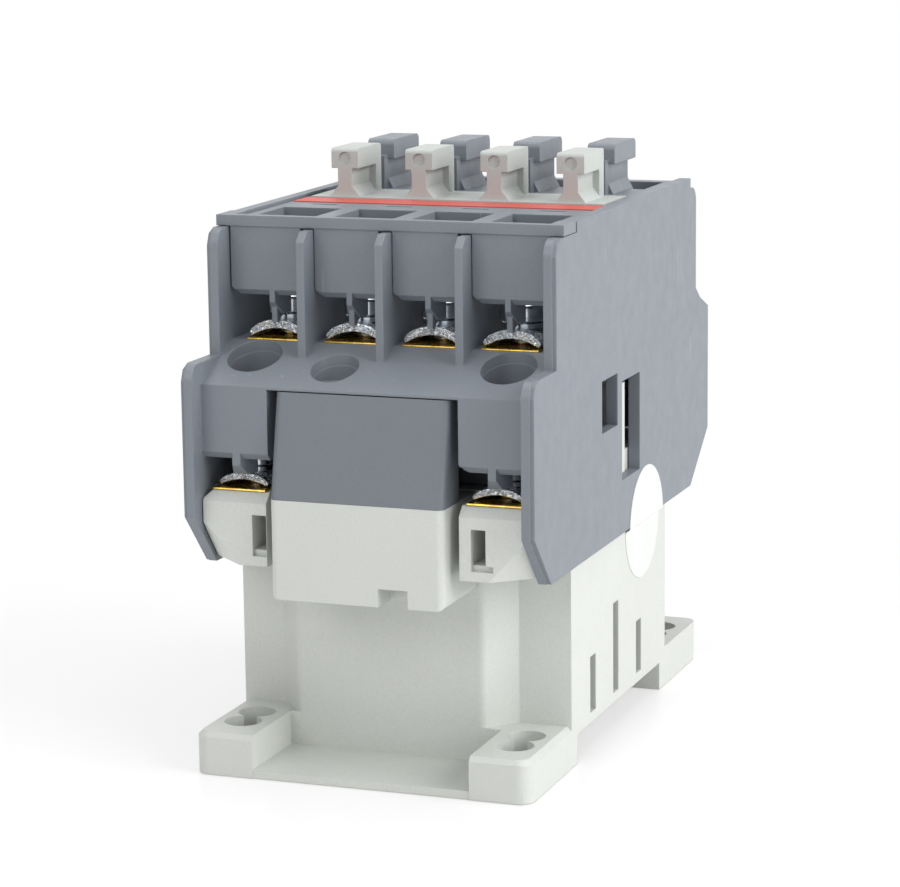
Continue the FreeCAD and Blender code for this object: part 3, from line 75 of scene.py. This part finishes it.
class Nodes:
    """A material with its shader, and short ways to add and join nodes."""

    def __init__(self, name):
        self.material = bpy.data.materials.new(name)
        self.material.use_nodes = True
        self.tree = self.material.node_tree
        self.shader = self.tree.nodes["Principled BSDF"]
        self.where = self.add("ShaderNodeTexCoord").outputs["Object"]

    def add(self, kind, **settings):
        node = self.tree.nodes.new(kind)
        for key, value in settings.items():
            setattr(node, key, value)
        return node

    def join(self, source, target):
        self.tree.links.new(source, target)

    def put(self, value, socket):
        """A plain value goes on the socket, anything else is joined to it."""
        if isinstance(value, (float, tuple)):
            socket.default_value = value
        else:
            self.join(value, socket)

    def stretched(self, scale, turn=(0.0, 0.0, 0.0)):
        node = self.add("ShaderNodeMapping")
        node.inputs["Scale"].default_value = scale
        node.inputs["Rotation"].default_value = turn
        self.join(self.where, node.inputs["Vector"])
        return node.outputs["Vector"]

    def noise(self, per_metre, detail=3.0, rough=0.55, scale=None, turn=(0.0, 0.0, 0.0), distort=0.0):
        node = self.add("ShaderNodeTexNoise")
        node.inputs["Scale"].default_value = per_metre
        node.inputs["Detail"].default_value = detail
        node.inputs["Roughness"].default_value = rough
        node.inputs["Distortion"].default_value = distort
        self.join(self.stretched(scale, turn) if scale else self.where, node.inputs["Vector"])
        return node.outputs["Fac"]

    def spread(self, value, low, high, to_low=0.0, to_high=1.0):
        node = self.add("ShaderNodeMapRange")
        node.inputs["From Min"].default_value = low
        node.inputs["From Max"].default_value = high
        node.inputs["To Min"].default_value = to_low
        node.inputs["To Max"].default_value = to_high
        self.join(value, node.inputs["Value"])
        return node.outputs["Result"]

    def mix(self, amount, first, second):
        node = self.add("ShaderNodeMix", data_type="RGBA")
        self.put(amount, node.inputs["Factor"])
        self.put(first, node.inputs[6])
        self.put(second, node.inputs[7])
        return node.outputs[2]

    def sums(self, operation, first, second):
        node = self.add("ShaderNodeMath", operation=operation)
        self.put(first, node.inputs[0])
        self.put(second, node.inputs[1])
        return node.outputs["Value"]

    def edge(self, radius):
        """0 on flat faces, towards 1 on the edges within the radius."""
        soft = self.add("ShaderNodeBevel", samples=4)
        soft.inputs["Radius"].default_value = radius
        flat = self.add("ShaderNodeNewGeometry").outputs["True Normal"]
        dot = self.add("ShaderNodeVectorMath", operation="DOT_PRODUCT")
        self.join(soft.outputs["Normal"], dot.inputs[0])
        self.join(flat, dot.inputs[1])
        return self.spread(dot.outputs["Value"], 0.995, 0.86)

    def relief(self, height, depth, base=None, strength=1.0):
        node = self.add("ShaderNodeBump")
        node.inputs["Strength"].default_value = strength
        node.inputs["Distance"].default_value = depth
        self.join(height, node.inputs["Height"])
        if base is not None:
            self.join(base, node.inputs["Normal"])
        return node.outputs["Normal"]

    def rounded(self, radius):
        node = self.add("ShaderNodeBevel", samples=4)
        node.inputs["Radius"].default_value = radius
        return node.outputs["Normal"]

    def finish(self, colour, rough, normal, metal=0.0, specular=0.5):
        self.join(colour, self.shader.inputs["Base Color"])
        self.join(rough, self.shader.inputs["Roughness"])
        self.join(normal, self.shader.inputs["Normal"])
        self.shader.inputs["Metallic"].default_value = metal
        self.shader.inputs["Specular IOR Level"].default_value = specular
        return self.material


def linear(red, green, blue):
    """A colour given as 0 to 255 on a screen, as shader values."""
    def one(value):
        share = value / 255.0
        return share / 12.92 if share <= 0.04045 else ((share + 0.055) / 1.055) ** 2.4
    return (one(red), one(green), one(blue), 1.0)


def scaled(colour, share):
    return tuple(channel * share for channel in colour[:3]) + (1.0,)


# Materials


def moulded(name, colour, rough=0.5, drag=0.2, painted_edge_highlight=1.25, scuffs=0.0):
    """Moulded plastic: fine grain, faint upright drag marks, and a painted highlight that lightens the edges.
    """
    n = Nodes(name)
    cloud = n.noise(45.0, detail=3.0)
    speck = n.noise(5200.0, detail=2.0)
    lines = n.noise(650.0, detail=4.0, scale=(1.0, 1.0, 0.025))
    tone = n.mix(n.spread(cloud, 0.3, 0.7), scaled(colour, 0.98), scaled(colour, 1.025))
    tone = n.mix(n.spread(speck, 0.4, 0.8, 0.0, 0.5), tone, scaled(colour, 0.8))
    tone = n.mix(n.spread(lines, 0.5, 0.75, 0.0, drag), tone, scaled(colour, 1.1))
    if scuffs:
        for turn, dense in (((0.5, 0.0, 0.0), 0.72), ((-0.9, 0.0, 0.3), 0.735)):
            hair = n.noise(1500.0, detail=1.0, scale=(1.0, 1.0, 0.03), turn=turn)
            patch = n.spread(n.noise(110.0, detail=1.0), 0.52, 0.6)
            mark = n.sums("MULTIPLY", n.spread(hair, dense, dense + 0.03), patch)
            tone = n.mix(n.sums("MULTIPLY", mark, scuffs), tone, scaled(colour, 1.45))
    # Painted highlight: the edges are mixed towards a lighter copy of the colour.
    tone = n.mix(n.sums("MULTIPLY", n.edge(0.3 * MM), 0.55), tone, scaled(colour, painted_edge_highlight))
    shine = n.spread(n.noise(420.0, detail=5.0), 0.3, 0.7, rough - 0.05, rough + 0.06)
    normal = n.rounded(0.2 * MM)
    normal = n.relief(n.noise(6500.0, detail=2.0), 0.00001, base=normal)
    normal = n.relief(lines, 0.000012, base=normal, strength=0.6)
    return n.finish(tone, shine, normal)


def metal(name, colour, rough, tint=None, brushed=(1.0, 1.0, 1.0), depth=0.000012, spangle=0.0):
    """Plated or bare metal: brushed lines, patches of another tone, uneven gloss, and a painted highlight on
    the edges.
    """
    n = Nodes(name)
    patch = n.noise(520.0, detail=5.0, distort=0.6)
    lines = n.noise(2600.0, detail=4.0, scale=brushed)
    tone = n.mix(n.spread(patch, 0.35, 0.68), colour, tint or scaled(colour, 0.78))
    tone = n.mix(n.spread(lines, 0.55, 0.8, 0.0, 0.4), tone, scaled(colour, 0.6))
    # Painted highlight: the edges are mixed towards a lighter copy of the colour.
    tone = n.mix(n.sums("MULTIPLY", n.edge(0.18 * MM), 0.6), tone, scaled(colour, 1.2))
    shine = n.spread(patch, 0.3, 0.7, rough, rough + 0.14)
    normal = n.relief(lines, depth, base=n.rounded(0.12 * MM))
    if spangle:
        pits = n.noise(1700.0, detail=3.0, rough=0.7, distort=1.2)
        normal = n.relief(n.spread(pits, 0.42, 0.6), spangle, base=normal)
    return n.finish(tone, shine, normal, metal=1.0)


def printed(name, colour, rough=0.45, fibre=0.000004):
    """A printed label: even ink over a slightly uneven film."""
    n = Nodes(name)
    cloud = n.noise(140.0, detail=4.0)
    dots = n.noise(7000.0, detail=1.0)
    tone = n.mix(n.spread(cloud, 0.3, 0.7), scaled(colour, 0.95), scaled(colour, 1.03))
    tone = n.mix(n.spread(dots, 0.6, 0.8, 0.0, 0.3), tone, scaled(colour, 1.15))
    shine = n.spread(cloud, 0.3, 0.7, rough - 0.05, rough + 0.1)
    return n.finish(tone, shine, n.relief(dots, fibre, base=n.rounded(0.05 * MM)))


GREY = linear(122, 128, 136)
WHITE = linear(203, 206, 201)
CREAM = linear(190, 194, 191)
RED = linear(198, 84, 72)
PAPER = linear(216, 218, 216)
ZINC = linear(226, 231, 236)
BRASS = linear(216, 180, 84)
STEEL = linear(150, 152, 155)
COPPER = linear(190, 112, 74)
SILVER = linear(222, 220, 212)
SPRING = linear(170, 172, 176)
BLACK = linear(34, 34, 36)


def make_looks():
    return {
        "grey": moulded("grey_moulding", GREY, rough=0.42, scuffs=0.8),
        "cap": moulded("grey_cap_moulding", scaled(GREY, 0.78), rough=0.4, drag=0.1),
        "white": moulded("white_moulding", WHITE, rough=0.42, drag=0.08, painted_edge_highlight=1.06),
        "cream": moulded("carrier_moulding", CREAM, rough=0.45, drag=0.08, painted_edge_highlight=1.08),
        "black": moulded("bobbin_moulding", BLACK, rough=0.5, painted_edge_highlight=1.5),
        "rubber": moulded("damper_rubber", scaled(BLACK, 0.7), rough=0.8, drag=0.0),
        "red": printed("red_print", RED),
        "paper": printed("white_label", PAPER),
        "zinc": metal("bright_zinc", ZINC, 0.13, tint=linear(190, 198, 208), spangle=0.00009),
        "head": metal("screw_zinc", scaled(ZINC, 0.9), 0.12, tint=linear(160, 170, 182)),
        "brass": metal("strip_brass", BRASS, 0.2, tint=linear(150, 116, 56), brushed=(0.1, 1.0, 1.0)),
        "steel": metal("core_steel", STEEL, 0.35, brushed=(1.0, 0.05, 1.0)),
        "copper": metal("winding_copper", COPPER, 0.35, brushed=(1.0, 1.0, 0.05)),
        "silver": metal("tip_silver", SILVER, 0.25),
        "spring": metal("spring_steel", SPRING, 0.25),
    }


def dress_nodes(looks):
    """Gives every node of the frame its material."""
    rules = (
        (("base_housing", "coil_block", "rail_latch"), "white"),
        (("main_housing", "top_cover"), "grey"),
        (("coil_cap",), "cap"),
        (("contact_carrier",), "cream"),
        (("coil_bobbin",), "black"),
        (("damper",), "rubber"),
        (("marker_strip",), "red"),
        (("round_sticker",), "paper"),
        (("clamps",), "zinc"),
        (("screws",), "head"),
        (("terminal",), "brass"),
        (("core",), "steel"),
        (("spring", "pin"), "spring"),
        (("tips",), "silver"),
        (("ring", "winding", "lead", "bridge"), "copper"),
    )
    for name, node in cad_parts.items():
        found = next(look for words, look in rules if any(word in name for word in words))
        node.data.materials.clear()
        node.data.materials.append(looks[found])


# Mesh helpers, in millimetres until they become a piece


def close_piece(bm, name, material, replaces=(), bevel=0.0, body="housing"):
    """Turns the mesh into a piece in metres that rides on a body."""
    bmesh.ops.recalc_face_normals(bm, faces=bm.faces)
    bmesh.ops.scale(bm, vec=(MM, MM, MM), verts=bm.verts)
    mesh = bpy.data.meshes.new(name)
    bm.to_mesh(mesh)
    bm.free()
    mesh.polygons.foreach_set("use_smooth", [True] * len(mesh.polygons))
    mesh.set_sharp_from_angle(angle=math.radians(32))
    mesh.materials.append(material)
    piece = bpy.data.objects.new(name, mesh)
    bpy.context.scene.collection.objects.link(piece)
    if bevel:
        soft = piece.modifiers.new("soft_edges", "BEVEL")
        soft.width = bevel * MM
        soft.segments = 2
        soft.limit_method = "ANGLE"
        soft.harden_normals = True
    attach(piece, body)
    if replaces:
        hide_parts(*replaces)
    return piece


def loft(bm, rings, closed=True):
    """Joins rings of points with faces; closed puts a face on both ends."""
    rows = [[bm.verts.new(point) for point in ring] for ring in rings]
    for one, two in zip(rows, rows[1:]):
        for k in range(len(one)):
            after = (k + 1) % len(one)
            bm.faces.new((one[k], one[after], two[after], two[k]))
    if closed:
        bm.faces.new(rows[0])
        bm.faces.new(rows[-1])


def turned(bm, centre, profile, sides=48):
    """A solid of revolution from (radius, height) pairs, its ends closed."""
    rings = []
    for radius, height in profile:
        ring = []
        for k in range(sides):
            angle = 2 * math.pi * k / sides
            x, y = centre[0] + radius * math.cos(angle), centre[1] + radius * math.sin(angle)
            ring.append((x, y, height))
        rings.append(ring)
    loft(bm, rings)


def along_x(bm, loop, low, high):
    loft(bm, [[(x, y, z) for y, z in loop] for x in (low, high)])


# Terminal hardware

POLES = (-15.0, -5.0, 5.0, 15.0)
COIL_SIDES = (-16.1, 16.1)
NEAR_SCREW_Y, FAR_SCREW_Y, COIL_SCREW_Y = -19.3, 22.4, -28.3
SHELF_FRONT = (-34.6, 47.3)
SHELF_BACK = (-25.0, 51.3)


class Terminal:
    """The heights of one row of terminals, from the plate to the screw head."""

    def __init__(self, plate, crown, washer, head, top, foot, head_r):
        self.plate, self.crown, self.washer = plate, crown, washer
        self.head, self.top, self.foot, self.head_r = head, top, foot, head_r


# Screws and washers
THREAD_ROOT, THREAD_CREST, THREAD_PITCH = 1.42, 1.68, 0.6
SLOT_HALF, SLOT_DEEP = 0.42, 1.15
WASHER_HOLE_R, WASHER_START, WASHER_TURN, WASHER_GAPE = 1.75, 200, 348, 0.3
POLE_SLOT_REACH, COIL_SLOT_REACH = 1.85, 1.65
SCREW_TURN, SCREW_TURN_STEP = 17, 38

# Strips, plates and clamps
STRIP_HALF, STRIP_HIGH, STRIP_BEND = 3.6, 52.3, 1.3
RIDGES, RIDGE_FIRST, RIDGE_STEP, RIDGE_HALF = 4, 0.8, 0.55, 0.12
POLE_CLAMP_HALF, POLE_CLAMP_THICK = 3.35, 1.05
COIL_CLAMP_HALF, COIL_CLAMP_THICK = 3.0, 0.84
BOSS = ((1.0, 30.8), (1.9, 31.05), (2.35, 31.6), (2.4, 34.6))
BOSS_OFFSET = 0.5

# Fin tips as (y, half width, lower end), steps in the pockets, and holes as (x, y, radius)
FIN_TIP = ((-24.68, 0.35, 53.45), (-24.2, 0.45, 53.45), (-23.9, 0.5, 53.95), (-22.4, 0.55, 54.5))
FIN_TIP_TOP = 56.3
POCKET_WALL_Y, POCKET_HALF = -11.96, 3.8
POCKET_STEPS, POCKET_STEP_TOP, POCKET_STEP_HIGH = 4, 64.6, 0.9
SHELF_HOLES = ((-16.1, -28.3, 3.35), (16.1, -28.3, 3.35), (-5.1, -30.0, 2.9))
SLEEVE_LOW, SLEEVE_UNDER_SHELF, SLEEVE_THICK, SLEEVE_PROUD = 46.0, 1.3, 0.4, 0.05

POLE_ROW = Terminal(51.54, 52.55, 53.62, 54.3, 56.7, 46.6, 2.95)
COIL_ROW = Terminal(34.8, 35.5, 36.35, 36.95, 38.95, 31.6, 2.65)


def saddle(bm, cx, low, high, row, half, thick):
    """A clamp bent from sheet: an arch with feet that thin out towards their ends."""
    rise = row.crown - row.plate - 0.06
    radius = (half * half + rise * rise) / (2 * rise)
    middle = row.crown - radius
    widest = math.asin(half / radius)
    inner, outer = [], []
    for k in range(25):
        share = -1 + k / 12
        angle = widest * share
        sheet = thick * (1 - 0.45 * abs(share) ** 5)
        for line, reach in ((inner, radius), (outer, radius + sheet)):
            line.append((cx + reach * math.sin(angle), middle + reach * math.cos(angle)))
    loop = inner + outer[::-1]
    depth = (0.0, 0.18, 0.5, 0.82, 1.0)
    rings = []
    for share in depth:
        curl = 0.12 * (abs(share - 0.5) * 2) ** 3
        rings.append([(x, low + (high - low) * share, z + curl * max(0.0, 1 - abs(x - cx) / half))
                      for x, z in loop])
    loft(bm, rings)


def split_washer(bm, centre, low, high, inner, outer):
    """A lock washer: a cut ring whose ends stand a little apart."""
    rings = []
    steps = 40
    for k in range(steps + 1):
        angle = math.radians(WASHER_START + WASHER_TURN * k / steps)
        lift = (high - low) * WASHER_GAPE * k / steps
        ring = []
        for radius, height in ((inner, low), (outer, low), (outer, high), (inner, high)):
            spot = (centre[0] + radius * math.cos(angle), centre[1] + radius * math.sin(angle))
            ring.append((spot[0], spot[1], height - (high - low) * WASHER_GAPE + lift))
        rings.append(ring)
    loft(bm, rings)


def screw_mesh(row, slot_reach):
    """One screw at the origin: threaded shank, pan head and a crossed slot cut into it."""
    bm = bmesh.new()
    profile = [(1.2, row.foot), (1.62, row.foot + 0.4)]
    height = row.foot + 0.4
    while height < row.washer - 0.8:
        profile += [(THREAD_ROOT, height + THREAD_PITCH / 2), (THREAD_CREST, height + THREAD_PITCH)]
        height += THREAD_PITCH
    r, top = row.head_r, row.top
    profile += [(1.6, row.head - 0.05), (r - 0.12, row.head), (r, row.head + 0.12), (r, top - 0.75),
                (r - 0.12, top - 0.42), (r - 0.45, top - 0.16), (r - 1.0, top - 0.03), (0.4, top)]
    turned(bm, (0.0, 0.0), profile)
    bmesh.ops.recalc_face_normals(bm, faces=bm.faces)
    body = bpy.data.meshes.new("screw_body")
    bm.to_mesh(body)
    bm.free()
    cutter = bmesh.new()
    w, s = SLOT_HALF, slot_reach
    plus = [(-s, -w), (-w, -w), (-w, -s), (w, -s), (w, -w), (s, -w), (s, w), (w, w), (w, s), (-w, s),
            (-w, w), (-s, w)]
    loft(cutter, [[(x, y, z) for x, y in plus] for z in (top - SLOT_DEEP, top + 1.0)])
    bmesh.ops.recalc_face_normals(cutter, faces=cutter.faces)
    tool = bpy.data.meshes.new("screw_tool")
    cutter.to_mesh(tool)
    cutter.free()
    return cut_away(body, tool)


def cut_away(body, tool):
    """The first mesh without the second."""
    holder = bpy.data.objects.new("cut_body", body)
    cutter = bpy.data.objects.new("cut_tool", tool)
    for item in (holder, cutter):
        bpy.context.scene.collection.objects.link(item)
    change = holder.modifiers.new("cut", "BOOLEAN")
    change.operation = "DIFFERENCE"
    change.solver = "EXACT"
    change.object = cutter
    graph = bpy.context.evaluated_depsgraph_get()
    result = bpy.data.meshes.new_from_object(holder.evaluated_get(graph))
    for item in (holder, cutter):
        bpy.data.objects.remove(item)
    bpy.data.meshes.remove(body)
    bpy.data.meshes.remove(tool)
    return result


def add_screws(name, looks, centres, y, row, slot_reach, node):
    unit = screw_mesh(row, slot_reach)
    bm = bmesh.new()
    for index, cx in enumerate(centres):
        first = len(bm.verts)
        bm.from_mesh(unit)
        bm.verts.ensure_lookup_table()
        fresh = bm.verts[first:]
        bmesh.ops.rotate(bm, verts=fresh, cent=(0, 0, 0),
                         matrix=Matrix.Rotation(math.radians(SCREW_TURN + SCREW_TURN_STEP * index), 3, "Z"))
        bmesh.ops.translate(bm, verts=fresh, vec=(cx, y, 0.0))
        split_washer(bm, (cx, y), row.washer, row.head - 0.04, WASHER_HOLE_R, row.head_r - 0.2)
    bpy.data.meshes.remove(unit)
    close_piece(bm, name, looks["head"], [node], bevel=0.05)


def add_clamps(name, looks, centres, low, high, row, half, thick, node):
    bm = bmesh.new()
    for cx in centres:
        saddle(bm, cx, low, high, row, half, thick)
    close_piece(bm, name, looks["zinc"], [node], bevel=0.12)


def add_pole_strips(looks):
    """Bent brass strips: low under the clamp, stepped up under the contact tip."""
    for row, edge, step, inner in (("near", -24.9, -13.6, -5.2), ("far", 28.8, 17.4, 11.0)):
        away = 1.0 if inner > edge else -1.0
        bm = bmesh.new()
        for cx in POLES:
            low = POLE_ROW.plate
            top = [(edge, low - 0.08), (edge + 0.1 * away, low), (step, low)]
            top += [(step + STRIP_BEND * away, STRIP_HIGH), (inner, STRIP_HIGH)]
            bottom = [(inner, SHELF_BACK[1]), (edge, SHELF_BACK[1])]
            along_x(bm, top + bottom, cx - STRIP_HALF, cx + STRIP_HALF)
            for k in range(RIDGES):
                spot = edge + (RIDGE_FIRST + RIDGE_STEP * k) * away
                ridge = [(spot - RIDGE_HALF, low - 0.04), (spot, low + 0.04), (spot + RIDGE_HALF, low - 0.04)]
                along_x(bm, ridge, cx - STRIP_HALF + 0.2, cx + STRIP_HALF - 0.2)
        nodes = ["%s_terminal_%d" % (row, k) for k in (1, 2, 3, 4)]
        close_piece(bm, row + "_strips", looks["brass"], nodes, bevel=0.05)


def add_coil_plates(looks):
    """Coil plates with a threaded boss that reaches down into the support."""
    bm = bmesh.new()
    for cx in COIL_SIDES:
        low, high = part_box("coil_terminal_left" if cx < 0 else "coil_terminal_right")
        near, far = low[1] / MM, high[1] / MM
        plate = [(near, 34.56), (near + 0.1, 34.78), (far - 0.1, 34.8), (far, 34.54)]
        along_x(bm, plate, low[0] / MM, high[0] / MM)
        turned(bm, (cx - BOSS_OFFSET, COIL_SCREW_Y), BOSS, sides=36)
    close_piece(bm, "coil_plates", looks["brass"],
                ["coil_terminal_left", "coil_terminal_right"], bevel=0.04)


def add_hardware(looks):
    add_pole_strips(looks)
    add_coil_plates(looks)
    rows = (("near", -24.1, -14.8, NEAR_SCREW_Y), ("far", 17.9, 27.2, FAR_SCREW_Y))
    for row, low, high, y in rows:
        add_clamps(row + "_saddles", looks, POLES, low, high, POLE_ROW,
                   POLE_CLAMP_HALF, POLE_CLAMP_THICK, row + "_clamps")
        add_screws(row + "_screw_set", looks, POLES, y, POLE_ROW, POLE_SLOT_REACH, row + "_screws")
    add_clamps("coil_saddles", looks, COIL_SIDES, -32.6, -24.6, COIL_ROW,
               COIL_CLAMP_HALF, COIL_CLAMP_THICK, "coil_clamps")
    add_screws("coil_screw_set", looks, COIL_SIDES, COIL_SCREW_Y, COIL_ROW, COIL_SLOT_REACH,
               "coil_screws")


def add_fin_tips(looks):
    """The lower ends of the cover's fins, which come down in front of the clamps."""
    bm = bmesh.new()
    for cx in POLES:
        rings = []
        for y, half, low in FIN_TIP:
            left, right = cx - half, cx + half
            rings.append([(left, y, FIN_TIP_TOP), (right, y, FIN_TIP_TOP), (right, y, low), (left, y, low)])
        loft(bm, rings)
    close_piece(bm, "cover_fin_tips", looks["grey"], bevel=0.08)


def add_hole_sleeves(looks):
    """Walls of the three round holes, carried up to the underside of the sloped shelf."""
    (front, front_z), (back, back_z) = SHELF_FRONT, SHELF_BACK
    inside, outside = -SLEEVE_PROUD, SLEEVE_THICK
    sides = 48
    bm = bmesh.new()
    for cx, cy, radius in SHELF_HOLES:
        rings = []
        for k in range(sides):
            angle = 2 * math.pi * k / sides
            ring = []
            for reach, up in ((inside, False), (outside, False), (outside, True), (inside, True)):
                x = cx + (radius + reach) * math.cos(angle)
                y = cy + (radius + reach) * math.sin(angle)
                slope = min(back_z, front_z + (back_z - front_z) * (y - front) / (back - front))
                ring.append((x, y, slope - SLEEVE_UNDER_SHELF if up else SLEEVE_LOW))
            rings.append(ring)
        loft(bm, rings + rings[:1], closed=False)
    bmesh.ops.remove_doubles(bm, verts=bm.verts, dist=0.0001)
    close_piece(bm, "hole_sleeves", looks["grey"])


def add_pocket_ridges(looks):
    """Fine steps on the far wall of each screwdriver pocket."""
    bm = bmesh.new()
    for cx in POLES:
        for k in range(POCKET_STEPS):
            z = POCKET_STEP_TOP - POCKET_STEP_HIGH * k
            wall, front = POCKET_WALL_Y, POCKET_WALL_Y - 0.26
            step = [(wall, z), (front, z - 0.12), (front, z - 0.5), (wall, z - 0.5)]
            along_x(bm, step, cx - POCKET_HALF, cx + POCKET_HALF)
    close_piece(bm, "pocket_ridges", looks["grey"], bevel=0.04)


# Room: floor, world and lamps

FLOOR_HALF = 4.0
GLOW_FROM, GLOW_FULL = 0.05, 0.14
WORLD_LEVEL = 0.36


def add_floor():
    """Pale floor: lit and shadowed near the object, plain white further off."""
    mesh = bpy.data.meshes.new("floor")
    corners = [(x * FLOOR_HALF, y * FLOOR_HALF, -0.0001)
               for x, y in ((-1, -1), (1, -1), (1, 1), (-1, 1))]
    mesh.from_pydata(corners, [], [(0, 1, 2, 3)])
    floor = bpy.data.objects.new("floor", mesh)
    bpy.context.scene.collection.objects.link(floor)
    n = Nodes("floor_paper")
    cloud = n.noise(3.0)
    tone = n.mix(n.spread(cloud, 0.3, 0.7), (0.95, 0.95, 0.95, 1.0), (0.965, 0.965, 0.965, 1.0))
    shine = n.spread(cloud, 0.3, 0.7, 0.2, 0.26)
    n.finish(tone, shine, n.relief(n.noise(400.0), 0.000004))
    away = n.add("ShaderNodeVectorMath", operation="LENGTH")
    n.join(n.where, away.inputs[0])
    path = n.add("ShaderNodeLightPath")
    seen = n.sums("MAXIMUM", path.outputs["Is Camera Ray"], path.outputs["Is Glossy Ray"])
    seen = n.sums("MAXIMUM", seen, path.outputs["Is Transmission Ray"])
    amount = n.sums("MULTIPLY", seen, n.spread(away.outputs["Value"], GLOW_FROM, GLOW_FULL, 0.5, 1.0))
    glow = n.add("ShaderNodeEmission")
    glow.inputs["Color"].default_value = (1.0, 1.0, 1.0, 1.0)
    glow.inputs["Strength"].default_value = 1.0
    blend = n.add("ShaderNodeMixShader")
    n.join(amount, blend.inputs[0])
    n.join(n.shader.outputs[0], blend.inputs[1])
    n.join(glow.outputs[0], blend.inputs[2])
    n.join(blend.outputs[0], n.tree.nodes["Material Output"].inputs["Surface"])
    floor.data.materials.append(n.material)


def light_world(strength):
    """A plain studio: dim white for diffuse light, white for camera, gloss and glass."""
    world = bpy.data.worlds.new("studio")
    bpy.context.scene.world = world
    world.use_nodes = True
    tree = world.node_tree
    path = tree.nodes.new("ShaderNodeLightPath")
    seen = path.outputs["Is Camera Ray"]
    for other in ("Is Glossy Ray", "Is Transmission Ray"):
        both = tree.nodes.new("ShaderNodeMath")
        both.operation = "MAXIMUM"
        tree.links.new(seen, both.inputs[0])
        tree.links.new(path.outputs[other], both.inputs[1])
        seen = both.outputs["Value"]
    level = tree.nodes.new("ShaderNodeMapRange")
    level.inputs["To Min"].default_value = strength
    level.inputs["To Max"].default_value = 1.0
    tree.links.new(seen, level.inputs["Value"])
    back = tree.nodes["Background"]
    back.inputs["Color"].default_value = (1.0, 1.0, 1.0, 1.0)
    tree.links.new(level.outputs["Result"], back.inputs["Strength"])


def add_softbox(name, place, size, watts, aim=(0.0, 0.0, 0.035)):
    data = bpy.data.lights.new(name, "AREA")
    data.shape = "RECTANGLE"
    data.size, data.size_y = size
    data.energy = watts
    lamp = bpy.data.objects.new(name, data)
    lamp.location = place
    lamp.rotation_euler = (Vector(aim) - Vector(place)).to_track_quat("-Z", "Y").to_euler()
    bpy.context.scene.collection.objects.link(lamp)


def add_lights():
    light_world(WORLD_LEVEL)
    add_softbox("softbox_right", (1.05, -0.1, 0.55), (0.9, 0.9), 12.0)
    add_softbox("softbox_front", (-0.35, -1.1, 0.7), (0.8, 0.6), 4.5)
    add_softbox("softbox_top", (0.0, 0.1, 1.2), (1.0, 1.0), 7.0)


bpy.context.scene.view_settings.view_transform = "Standard"
add_camera()
looks = make_looks()
dress_nodes(looks)
add_hardware(looks)
add_fin_tips(looks)
add_pocket_ridges(looks)
add_hole_sleeves(looks)
add_floor()
add_lights()
